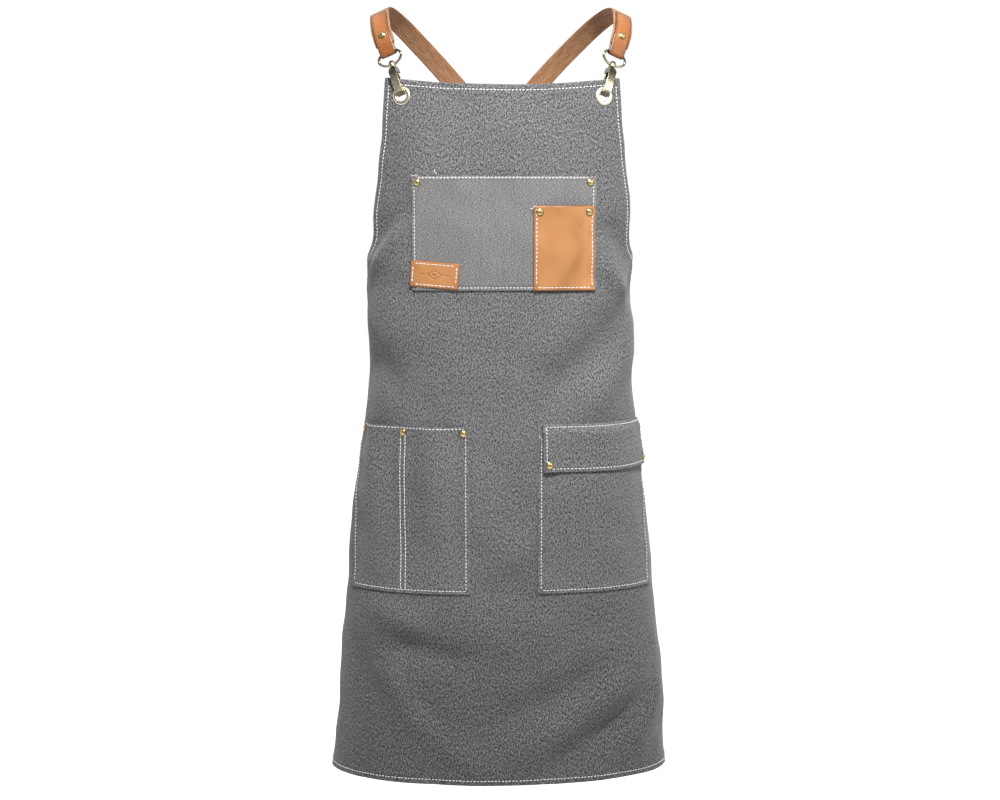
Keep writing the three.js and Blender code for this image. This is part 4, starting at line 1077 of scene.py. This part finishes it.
flap_low = FLAP["top"] - FLAP["height"]
columns = edged_columns(FLAP["left"], FLAP["right"])
rows = spread_rows([FLAP["top"], FLAP["top"] - 16, flap_low + 9, flap_low], [0.8, 2.6, 1.0])
z, s = np.meshgrid(rows, columns, indexing="ij")
sides = sewn_gap(s, z, FLAP["left"], FLAP["right"], flap_low)
seam = FLAP["top"] - z
outer = flap_lift(s, z) + CLOTH + 0.8 * hem_relief(
    sides, np.where(z - flap_low < 8, s, z), 3.8, deep=0.3, width=7.0
)
outer = outer - 0.3 * np.exp(-(((seam - 3.2) / 0.9) ** 2))
wear_and_shade = 0.7 * np.exp(-((np.minimum(sides, seam) / 1.2) ** 2)) - 0.4 * np.exp(-(((sides - 3.8) / 1.1) ** 2))
flap = cloth_slab("pocket_flap_cloth", s, z, outer, flap_lift(s, z), DENIM, {"wear_and_painted_shade": wear_and_shade})
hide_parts("pocket_flap")
face = above(flap_lift, CLOTH)
row_left, row_right, row_low = FLAP["left"] + HIP_ROW, FLAP["right"] - HIP_ROW, flap_low + HIP_ROW
row_top, seam_row = FLAP["top"] - 2, FLAP["top"] - FLAP_SEAM_ROW
paths = [
    refined([(row_left, row_top), (row_left, row_low), (row_right, row_low)]),
    refined([(row_right, row_low), (row_right, row_top)]),
    refined([(FLAP["left"] + 2, seam_row), (FLAP["right"] - 2, seam_row)]),
]
flap_stitches = mesh_object("pocket_flap_stitching", *merged([stitch_path(p, face) for p in paths]), THREAD)
root = cloth_point(FLAP_MIDDLE, FLAP["top"] - FLAP_BEND[0], np.array(1.0)) * MM
tip = cloth_point(FLAP_MIDDLE, FLAP["top"] - FLAP_BEND[1], np.array(1.0)) * MM
tip[:2] = root[:2]
for obj in (flap, flap_stitches):
    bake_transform(obj)

# ------------------------------------------------------------------ rivets and grommets


def standing(point, outward):
    """A matrix whose Y looks outward."""
    outward = unit(np.asarray(outward))
    x = unit(np.cross(outward, [0, 0, 1.0]))
    return matrix_of(x, outward, np.cross(x, outward), point)


def turned_object(name, shell, matrix, material, body, node, shine):
    obj = mesh_object(name, *moved(shell, matrix), material, values={"shine": shine(shell[0])})
    return place(obj, body, node)


def rivet(node, s, z, lift, thickness, depth, body="apron"):
    """A copper-brass rivet through the layers: depth is how far behind its seat the burr lies."""
    point, outward, _ = surface_frame(np.array(s), np.array(z), lift)
    rivet_at(node, standing(point + outward * thickness, outward), depth, body)


def rivet_at(node, matrix, depth, body="apron"):
    back = -depth - 0.2
    profile = [
        (0, back - 1.1), (1.4, back - 1.1), (2.0, back - 0.9), (3.9, back - 0.8), (4.2, back - 0.4),
        (4.0, back), (1.6, back)
    ]
    profile += [
        (1.6, 0.1), (3.9, 0.05), (4.35, 0.25), (4.45, 0.6), (4.3, 0.95), (3.95, 1.0), (3.7, 0.95),
        (3.4, 1.2)
    ]
    profile += [(2.9, 1.62), (2.2, 1.95), (1.3, 2.14), (0.6, 2.2), (0, 2.22)]

    def shine(p):
        radius = np.hypot(p[:, 0], p[:, 2])
        return np.where(
            p[:, 1] < 0, 0.45,
            0.95 - 0.85 * smoothstep(radius, 3.2, 3.8) + 0.5 * smoothstep(radius, 4.1, 4.4)
        )

    turned_object(
        node + "_cap", lathe(profile, 32), matrix, RIVET_BRASS, body, node, shine
    )


rivet(
    "chest_pocket_rivet_left", CHEST["left"] + CORNER, CHEST["top"] - CORNER, above(chest_lift, 0),
    CLOTH + 0.3, 3.2
)
rivet(
    "chest_pocket_rivet_right", CHEST["right"] - CORNER, CHEST["top"] - CORNER, above(chest_lift, 0),
    CLOTH + 0.3, 3.2
)
for place_name, at in (("left", PEN["left"] + CORNER), ("right", PEN["right"] - CORNER)):
    rivet("pen_pocket_rivet_" + place_name, at, PEN["top"] - CORNER, above(pen_lift, 0), LEATHER + 0.1, 4.4)
hip_spots = {"inner": -HIP["inner"] - CORNER, "middle": divider, "outer": -outer_s + CORNER}
for place_name, at in hip_spots.items():
    rivet(
        "left_hip_rivet_" + place_name, at, HIP["top"] - CORNER, above(left_hip_lift, 0), CLOTH + 0.3, 3.2
    )
for place_name, at in (("inner", FLAP["left"] + CORNER), ("outer", FLAP["right"] - CORNER)):
    rivet(
        "flap_rivet_" + place_name, at, flap_low + CORNER + 1, above(flap_lift, 0), CLOTH + 0.3, 0.9, "flap"
    )

EYELET = [
    (6.8, -2.0), (7.1, -3.1), (7.6, -3.3), (8.1, -3.2), (8.1, -2.9), (7.3, -2.8), (6.9, -2.4), (6.9, 0.2),
    (8.0, 0.5), (10.9, 0.3)
]
EYELET += [
    (11.1, 0.6), (10.9, 1.0), (10.2, 1.35), (9.2, 1.65), (8.6, 1.55), (8.2, 1.6), (7.4, 1.62), (6.8, 1.35),
    (6.45, 0.8), (6.4, 0.0)
]
WASHER = [(7.2, -2.8), (10.2, -2.8), (10.6, -2.5), (10.6, -2.2), (10.2, -2.0), (7.2, -2.0)]
for side_name, sign in (("left", -1), ("right", 1)):
    for place_name, s0, z0 in (
        (f"bib_{side_name}", 122.5 * sign, -105.0), (f"waist_{side_name}", 335.5 * sign, -416.0)
    ):
        matrix = standing(form_point(s0, z0), form_normal(s0, z0))
        ring_line = lambda p: 0.95 - 0.75 * np.exp(-(((np.hypot(p[:, 0], p[:, 2]) - 8.6) / 0.35) ** 2))
        turned_object(
            place_name + "_grommet_ring", lathe(EYELET, 48), matrix, GROMMET_BRASS, "apron",
            place_name + "_grommet_eyelet", ring_line
        )
        turned_object(
            place_name + "_grommet_back", lathe(WASHER, 48), matrix, GROMMET_BRASS, "apron",
            place_name + "_grommet_washer", lambda p: np.full(len(p), 0.8)
        )

# ------------------------------------------------------------------ snap hooks

JOINTS = {j["name"]: j for j in frame["joints"]}
HUB_LOW, HUB_TOP = -RING_DROP - HUB_HALF, -RING_DROP + HUB_HALF
HEAD_TOP = HUB_LOW - GAP
HEAD_LOW = HEAD_TOP - 7.6
HOOK_OUTER = BEND_R + HOOK_THICK
PIN_Y = BEND_R - 1.0
PIN_Z = HEAD_TOP - 4.3
KNUCKLE = 2.1
PIN_R = 1.0
SLOT_HALF = GATE_WIDTH / 2 + GAP + 0.1
KNUCKLE_END = GATE_WIDTH / 2 - GATE_WIDTH * 0.44


def hook_axes(place_name):
    bar = np.array(JOINTS[place_name + "_eye_swing"]["pos_m"]) / MM
    side = np.array(JOINTS[place_name + "_eye_swing"]["axis"])
    up = np.array(JOINTS[place_name + "_hook_swivel"]["axis"])
    return bar, side, np.cross(up, side), up


def upright(shell):
    """Turns a lathe's Y to Z."""
    points, faces = shell
    return np.stack([points[:, 0], -points[:, 2], points[:, 1]], 1), faces


def lying(shell, y, z):
    """Turns a lathe's Y to X, at (y, z)."""
    points, faces = shell
    return np.stack([points[:, 1], points[:, 0] + y, points[:, 2] + z], 1), faces


def rod(radius, low, high, rounding=0.25, segments=24):
    r = rounding
    return lathe(
        [(0, low), (radius - r, low), (radius, low + r), (radius, high - r), (radius - r, high), (0, high)],
        segments
    )


def arc(centre, radius, start, end, count=18):
    angles = np.linspace(start, end, count)
    return [(centre[0] + radius * math.cos(a), centre[1] + radius * math.sin(a)) for a in angles]


def hook_strip():
    bend = (0.0, -HOOK_REACH)
    slot_front = PIN_Y - KNUCKLE - GAP
    outline_points = [(-3.2, HEAD_TOP), (-HOOK_OUTER + 1.2, HEAD_TOP - 3.4), (-HOOK_OUTER, HEAD_TOP - 6)]
    outline_points += arc(bend, HOOK_OUTER, math.pi, 2 * math.pi, 26)
    outline_points += [(HOOK_OUTER, -HOOK_REACH + TIP_RISE), (BEND_R, -HOOK_REACH + TIP_RISE)]
    outline_points += arc(bend, BEND_R, 2 * math.pi, math.pi, 24)
    outline_points += [
        (-BEND_R, HEAD_LOW - 2), (-BEND_R + 2, HEAD_LOW), (slot_front, HEAD_LOW), (slot_front, HEAD_TOP)
    ]
    parts = [prism(outline_points, -HOOK_WIDTH / 2, HOOK_WIDTH / 2, 0.35)]
    cheek = [
        (slot_front - 0.6, HEAD_TOP), (slot_front - 0.6, HEAD_LOW), (PIN_Y + 1, HEAD_LOW),
        (PIN_Y + KNUCKLE, HEAD_LOW + 1.4)
    ]
    cheek += [(PIN_Y + KNUCKLE, HEAD_TOP - 1.6), (3.2, HEAD_TOP)]
    for low, high in ((-HOOK_WIDTH / 2, -SLOT_HALF), (SLOT_HALF, HOOK_WIDTH / 2)):
        parts.append(prism(cheek, low, high, 0.3))
    parts.append(upright(rod(STEM_R, HEAD_TOP - 0.6, HUB_TOP + GAP + 0.5)))
    base = HUB_TOP + GAP
    cap = [
        (0, base), (3.0, base), (3.25, base + 0.3), (3.1, base + 0.9), (2.3, base + 1.5), (1.2, base + 2.0),
        (0, base + 2.3)
    ]
    parts.append(upright(lathe(cap, 28)))
    return merged(parts)


# Painted highlight on the bend and painted shadow below it, where the strip goes into the grommet; a little
# lighter at its side edges.
def hook_painted_highlight(p):
    bend = smoothstep(-p[:, 2], HOOK_REACH - 11, HOOK_REACH - 4)
    edge = smoothstep(np.abs(p[:, 0]), HOOK_WIDTH / 2 - 0.35, HOOK_WIDTH / 2 - 0.05) * 0.15
    return np.clip(0.06 + bend * (1 - smoothstep(-p[:, 2], HOOK_REACH + 3, HOOK_REACH + 4.5)) + edge, 0, 1)


def gate_shell():
    outer = BEND_R - GAP - 0.1
    inner = outer - GATE_THICK
    tip = -HOOK_REACH + TIP_RISE - 1.8
    blade = [
        (inner, PIN_Z - 1.4), (inner, tip), (outer, tip), (outer, HEAD_LOW - 6), (outer + 2.2, HEAD_LOW - 4)
    ]
    blade += [(outer + 1.6, HEAD_LOW - 2.4), (outer, HEAD_LOW - 2.6), (outer, PIN_Z - 1.4)]
    left, right = -GATE_WIDTH / 2, GATE_WIDTH / 2
    upper = [(inner, PIN_Z - 1.4), (inner, HEAD_LOW + 0.3), (outer, HEAD_LOW + 0.3), (outer, PIN_Z - 1.4)]
    lower = [(inner, HEAD_LOW + 0.5), *blade[1:-1], (outer, HEAD_LOW + 0.5)]
    bore = lathe([(1.3, left), (KNUCKLE, left), (KNUCKLE, KNUCKLE_END), (1.3, KNUCKLE_END)], 28)
    return merged(
        [prism(upper, left, KNUCKLE_END, 0.15), prism(lower, left, right, 0.25), lying(bore, PIN_Y, PIN_Z)]
    )


def eye_shell(band):
    straight = band / 2 + 0.9
    half = [
        (straight / 2, 0), (straight, 0), (RING_HALF - 0.9, -RING_DROP * 0.19),
        (RING_HALF - 0.1, -RING_DROP * 0.46)
    ]
    half += [(RING_HALF * 0.76, -RING_DROP * 0.76), (RING_HALF * 0.36, -RING_DROP * 0.96)]
    bore = STEM_R + GAP
    half.append((bore + 0.3, -RING_DROP))
    way, _ = spline([(-x, 0, z) for x, z in reversed(half)] + [(x, 0, z) for x, z in half], 96)
    ring = tube(way, RING_WIRE, 16)
    profile = [
        (bore, HUB_LOW), (3.4, HUB_LOW), (4.1, HUB_LOW + 0.5), (4.6, HUB_LOW + 1.7), (HUB_R, -RING_DROP)
    ]
    profile += [(4.6, HUB_TOP - 1.7), (4.1, HUB_TOP - 0.5), (3.4, HUB_TOP), (bore, HUB_TOP)]
    return merged([ring, upright(lathe(profile, 36))])


def spring_shell():
    wire, turns = 0.26, 2.5
    radius = PIN_R + GAP + wire + 0.1
    t = np.linspace(0, 1, 61)
    start, end = KNUCKLE_END + GAP + wire, GATE_WIDTH / 2 - wire
    angle = 2 * np.pi * turns * t
    way = np.stack(
        [start + (end - start) * t, PIN_Y + radius * np.cos(angle), PIN_Z + radius * np.sin(angle)], 1
    )
    return tube(way, wire, 10)


def metal_piece(name, shell, matrix, material, body, node, shine):
    """shine is one number, or a function of the shell's points before they are moved."""
    tone = shine(shell[0]) if callable(shine) else np.full(len(shell[0]), shine)
    obj = mesh_object(name, *moved(shell, matrix), material, values={"shine": tone})
    shade_by_angle(obj)
    return place(obj, body, node)


def shade_by_angle(obj, limit=0.7):
    """Smooth shading that keeps the turns sharper than limit (radians) crisp."""
    bm = bmesh.new()
    bm.from_mesh(obj.data)
    bmesh.ops.recalc_face_normals(bm, faces=bm.faces)
    for edge in bm.edges:
        edge.smooth = edge.calc_face_angle(0) < limit
    bm.to_mesh(obj.data)
    bm.free()


for name, band in (
    ("bib_left", TAB_WIDTH), ("bib_right", TAB_WIDTH), ("waist_left", WEB_WIDTH), ("waist_right", WEB_WIDTH)
):
    bar, side, inward, up = hook_axes(name)
    matrix = matrix_of(side, inward, up, bar)
    eye_tone = lambda p: 0.1 + 0.35 * smoothstep(-p[:, 2], 6, 16)
    pin = lying(rod(PIN_R, -HOOK_WIDTH / 2 - 0.4, HOOK_WIDTH / 2 + 0.4), PIN_Y, PIN_Z)
    pieces = [
        ("swivel_ring", "swivel_eye", "eye", eye_shell(band), ANTIQUE, eye_tone),
        ("hook_strip", "hook_body", "hook", hook_strip(), ANTIQUE, hook_painted_highlight),
        ("gate_leaf", "hook_gate", "gate", gate_shell(), ANTIQUE, 0.12),
        ("gate_rod", "gate_pin", "hook", pin, ANTIQUE, 0.5),
        ("gate_coil", "gate_spring", "hook", spring_shell(), STEEL, 0.6),
    ]
    for look, node, body, shell, material, shine in pieces:
        metal_piece(f"{name}_{look}", shell, matrix, material, f"{name}_{body}", f"{name}_{node}", shine)

# ------------------------------------------------------------------ straps

ROUTE = [
    ((-145, -58, -29), (-0.28, -0.86, 0.42)),
    ((-147.5, -41, -12.5), (-0.34, -0.62, 0.7)),
    ((-148, -20, -2.2), (-0.41, -0.27, 0.87)),
    ((-145.5, 2, 0.9), (-0.45, 0.02, 0.89)),
    ((-138, 28, -0.6), (-0.42, 0.3, 0.85)),
    ((-121, 60, -13), (-0.3, 0.62, 0.72)),
    ((-97, 86, -36), (-0.18, 0.8, 0.57)),
    ((-70, 103, -64), (-0.1, 0.9, 0.42)),
    ((-35, 112.5, -104), (-0.04, 0.97, 0.22)),
    ((0, 116, -147), (0, 1, 0.06)),
    ((20, 116, -178), (0.05, 1, 0)),
]
CROSSING = 9  # where the two straps cross
STRAIGHT_TOP = (34, 114, -208)
LAYER = WEB_THICK / 2 + 0.5
WEB_FOLD = RING_WIRE + GAP + WEB_THICK / 2
TAB_FOLD = RING_WIRE + GAP + LEATHER / 2
FUNNEL = 18.0  # how far from its ring a band narrows towards it
STRAP_STATIONS = 170


class Strap:
    """One strap's line from its bib ring to its waist ring."""

    def __init__(self, sign):
        self.name = "left" if sign < 0 else "right"
        self.rear_side = "right" if sign < 0 else "left"
        self.front = front = hook_axes("bib_" + self.name)
        self.rear = rear = hook_axes("waist_" + self.rear_side)
        mirror = np.array([-sign, 1, 1])
        points = [front[0]]
        normals = [-front[2]]
        for i, (p, n) in enumerate(ROUTE):
            point = np.array(p, float) * mirror
            if i == CROSSING:
                point[1] += sign * 1.8
            points.append(point)
            normals.append(np.array(n, float) * mirror)
        lead = np.array(STRAIGHT_TOP, float) * mirror
        for share in (0, 0.25):
            points.append(lead + (rear[0] - lead) * share)
            normals.append(-rear[2])
        self.centre, t = spline(points, STRAP_STATIONS)
        i = np.minimum(t.astype(int), len(points) - 2)
        f = (t - i)[:, None]
        normals = np.array(normals)
        facing = normals[i] * (1 - f) + normals[i + 1] * f
        self.tangent = unit(np.gradient(self.centre, axis=0))
        self.outward = unit(facing - self.tangent * (facing * self.tangent).sum(1, keepdims=True))
        self.across = unit(np.cross(self.tangent, self.outward))
        self.distance = travelled(self.centre)

    def at(self, distance):
        look = lambda table: np.stack(
            [np.interp(distance, self.distance, table[:, k]) for k in range(3)], -1
        )
        return look(self.centre), unit(look(self.outward)), unit(look(self.across))


def loop(bar, inward, up, radius, angles):
    outward = inward * np.cos(angles)[:, None] - up * np.sin(angles)[:, None]
    return bar + outward * radius, outward


def ribbon(
    name, centre, outward, across, width, thickness, material, crown=0.0, cells=17, groove=None,
    edge_round=0.5
):
    """A band through stations, closed and rounded at its edges."""
    flat = np.linspace(-0.5, 0.5, cells)
    shape = np.sign(flat) * (np.abs(2 * flat) ** 0.8) / 2
    x = shape[None, :] * (width - 2 * edge_round)
    length = travelled(centre)
    ends = np.minimum(length, length[-1] - length)[:, None]
    gap = np.minimum(width / 2 - edge_round - np.abs(x), ends)
    soft = 0.3 * np.exp(-((gap / 0.7) ** 2))
    press = np.zeros(gap.shape) if groove is None else np.exp(-(((gap - groove) / 0.6) ** 2))
    flat_band = centre[:, None] + across[:, None] * x[..., None]
    place_at = lambda lift: flat_band + outward[:, None] * np.asarray(lift)[..., None]
    top = thickness / 2 + crown * (1 - (2 * x / width) ** 2) - soft - 0.22 * press
    bottom = -thickness / 2 + soft
    uv = np.stack([np.broadcast_to(x, gap.shape), np.broadcast_to(length[:, None], gap.shape)], -1) * MM
    values = {"edge": np.exp(-((gap / 0.9) ** 2)), "press": press}
    return slab(name, place_at(top), place_at(bottom), material, uv, values, edge_round)


def ribbon_stitches(centre, outward, across, offset, lift, pitch=4.6, length=3.2, radius=0.42):
    """A row of stitches along a band, offset to one side of its middle."""
    way = centre + across * offset + outward * lift
    total = travelled(way)
    middle = np.arange(4.0, total[-1] - 4.0, pitch)
    spots = middle[:, None] + STITCH[None] * length
    look = lambda table: np.stack([np.interp(spots, total, table[:, k]) for k in range(3)], -1)
    normal = unit(look(outward))
    rise = radius * np.array([-0.75, 0.1, 0.35, 0.35, 0.1, -0.75])[None, :, None]
    return stitch_shell(look(way) + normal * rise, normal, radius)


def rounded_box(size, centre, bevel=0.45):
    x, y, z = (v / 2 for v in size)
    points, faces = prism([(-y, -z), (y, -z), (y, z), (-y, z)], -x, x, bevel, 3)
    return points + np.asarray(centre, float), faces


def tab_lift(distance):
    """How far a tab's leaf stands off the strap's middle: it closes up behind the ring."""
    return TAB_FOLD - 0.7 * smoothstep(distance, 8, 22)


def make_tab(strap):
    bar, side, inward, up = strap.front
    near = np.linspace(3, TAB_FRONT, 34)
    c, o, a = strap.at(near)
    outer_c, outer_o, outer_a = (c + o * tab_lift(near)[:, None])[::-1], o[::-1], a[::-1]
    back = near[near < TAB_BACK]
    c, o, a = strap.at(back)
    inner_c = c - o * tab_lift(back)[:, None]
    fold_across = side * np.sign(np.dot(side, outer_a[-1]))
    fold_c, fold_o = loop(bar, inward, up, TAB_FOLD, np.linspace(math.pi - 0.12, 0.12, 19))
    centres = np.concatenate([outer_c, fold_c, inner_c])
    outwards = np.concatenate([outer_o, fold_o, -o])
    acrosses = np.concatenate([outer_a, np.tile(fold_across, (len(fold_c), 1)), a])
    name = strap.name
    tab = ribbon(
        name + "_tab_leather", centres, outwards, acrosses, TAB_WIDTH, LEATHER, TAB_TAN, 0.25, groove=2.2
    )
    place(tab, "apron", name + "_strap_tab")
    row = TAB_WIDTH / 2 - 2.7
    shells = [
        ribbon_stitches(outer_c, outer_o, outer_a, offset, LEATHER / 2 + 0.05) for offset in (-row, row)
    ]
    tab_stitches = sewn(name + "_tab_stitching", shells, TAB_THREAD)


def make_tab_rivet(strap):
    centre, outward, _ = (v[0] for v in strap.at(np.array([TAB_RIVET])))
    seat = tab_lift(TAB_RIVET) + LEATHER / 2 + 0.2
    rivet_at(strap.name + "_tab_rivet", standing(centre + outward * seat, outward), 2 * seat)


def web_gap(distance):
    """Half the gap between a band's two layers, wider where they part round the ring."""
    return LAYER + (WEB_FOLD - LAYER) * (1 - smoothstep(distance, 2, FUNNEL))


def make_webbing(strap):
    """The band over the shoulder and down the back, round its ring and up again."""
    bar, _, inward, up = strap.rear
    along = np.arange(WEB_START, strap.distance[-1], 3.0)
    c, o, a = strap.at(along)
    remaining = strap.distance[-1] - along
    c = c - o * (LAYER * (1 - smoothstep(remaining, 0, 55)))[:, None]
    end = float(np.dot(strap.centre[-1] - bar, up))
    down = np.concatenate([np.arange(end - 3, FUNNEL, -4.0), np.linspace(FUNNEL, 2, 8)])
    main_c = bar + up * down[:, None] + inward * web_gap(down)[:, None]
    fold_c, fold_o = loop(bar, inward, up, WEB_FOLD, np.linspace(0.15, math.pi - 0.15, 17))
    climb = np.concatenate([np.linspace(2, FUNNEL, 8), np.arange(FUNNEL + 4, TAIL, 4.0), [TAIL]])
    tail_c = bar + up * climb[:, None] - inward * web_gap(climb)[:, None]
    centres = np.concatenate([c, main_c, fold_c, tail_c])
    outwards = np.concatenate(
        [o, np.tile(-inward, (len(down), 1)), -fold_o, np.tile(inward, (len(climb), 1))]
    )
    acrosses = np.concatenate([a, np.tile(a[-1], (len(down) + len(fold_c) + len(climb), 1))])
    name = strap.name + "_webbing_band"
    band = ribbon(name, centres, outwards, acrosses, WEB_WIDTH, WEB_THICK, WEBBING, edge_round=0.4)
    place(band, "apron", strap.name + "_strap_webbing")
    length = float(travelled(centres)[-1]) * MM


def make_adjuster(strap):
    """A frame whose two end bars lie on one side of the doubled band and its middle bar on the other."""
    bar, side, inward, up = strap.rear
    reach = LAYER + WEB_THICK / 2 + GAP + ADJUSTER_BAR / 2
    cross_bar = (WEB_WIDTH + 8, ADJUSTER_BAR, ADJUSTER_BAR)
    half_length = ADJUSTER_LENGTH / 2 - ADJUSTER_BAR / 2
    sides = (ADJUSTER_BAR, 2 * reach + ADJUSTER_BAR, ADJUSTER_LENGTH)
    parts = [rounded_box(sides, (x, 0, 0)) for x in (-15.4, 15.4)]
    spots = [(0, -reach, -half_length), (0, -reach, half_length), (0, reach, 0)]
    parts += [rounded_box(cross_bar, spot) for spot in spots]
    matrix = matrix_of(side, inward, up, bar + up * ADJUSTER_AT)
    name = strap.name
    metal_piece(
        name + "_adjuster_frame", merged(
            parts
        ), matrix, ANTIQUE, name + "_adjuster", name + "_strap_adjuster", 0.3
    )


for sign in (-1, 1):
    strap = Strap(sign)
    make_tab(strap)
    make_tab_rivet(strap)
    make_webbing(strap)
    make_adjuster(strap)

# ------------------------------------------------------------------ light, floor and camera

scene = bpy.context.scene
scene.view_settings.view_transform = "Standard"
scene.view_settings.look = "None"

world = bpy.data.worlds.new("studio")
scene.world = world
world.use_nodes = True
tree = world.node_tree
direction = tree.nodes.new("ShaderNodeTexCoord")
parts = tree.nodes.new("ShaderNodeSeparateXYZ")
ramp = tree.nodes.new("ShaderNodeMapRange")
for key, value in (("From Min", -0.45), ("From Max", 0.35), ("To Min", 0.25), ("To Max", 1.02)):
    ramp.inputs[key].default_value = value
tree.links.new(direction.outputs["Generated"], parts.inputs[0])
tree.links.new(parts.outputs["Y"], ramp.inputs["Value"])
tree.links.new(ramp.outputs[0], tree.nodes["Background"].inputs["Strength"])
tree.nodes["Background"].inputs["Color"].default_value = (1, 1, 1, 1)


def area_light(name, location, target, size, energy):
    light = bpy.data.lights.new(name, "AREA")
    light.shape = "RECTANGLE"
    light.size, light.size_y = size
    light.energy = energy
    obj = bpy.data.objects.new(name, light)
    obj.location = location
    obj.rotation_euler = (Vector(target) - Vector(location)).to_track_quat("-Z", "Y").to_euler()
    scene.collection.objects.link(obj)
    return obj


key = area_light("key", (0.12, -1.08, 0.84), (0, 0, -0.3), (0.34, 0.17), 57)
fill = area_light("fill", (1.7, -1.4, 0.3), (0, 0, -0.55), (0.8, 0.8), 9)
FLOOR_HALF, FLOOR_Z = 9, -1.3  # metres
turns = ((-1, -1), (1, -1), (1, 1), (-1, 1))
floor_mesh = bpy.data.meshes.new("floor")
floor_mesh.from_pydata([(FLOOR_HALF * x, FLOOR_HALF * y, FLOOR_Z) for x, y in turns], [], [(0, 1, 2, 3)])
floor = bpy.data.objects.new("floor", floor_mesh)
scene.collection.objects.link(floor)
# The floor is grey in front of the apron and pale behind it, where it also glows and lights the apron from
# behind.
paper = Shader("paper", roughness=0.95, specular=0.0)
spot = paper.node("SeparateXYZ", {0: paper.node("TexCoord", output=3)}, output=1)
behind = paper.between(spot, -3.0, 1.2)
paper.put(paper.bsdf.inputs["Base Color"], paper.mix(behind, (0.36, 0.36, 0.36), (0.88, 0.88, 0.88)))
paper.bsdf.inputs["Emission Color"].default_value = (1, 1, 1, 1)
paper.put(paper.bsdf.inputs["Emission Strength"], paper.times(behind, 0.6))
floor_mesh.materials.append(paper.material)

EYE = (-0.1134, -2.5975, -0.217)  # metres
LOOK_DOWN = 5.757  # degrees
lens = bpy.data.cameras.new("camera")
lens.lens = 75
camera = bpy.data.objects.new("camera", lens)
camera.location = EYE
camera.rotation_euler = (math.radians(90 - LOOK_DOWN), 0, -math.atan2(-EYE[0], -EYE[1]))
scene.collection.objects.link(camera)
scene.camera = camera
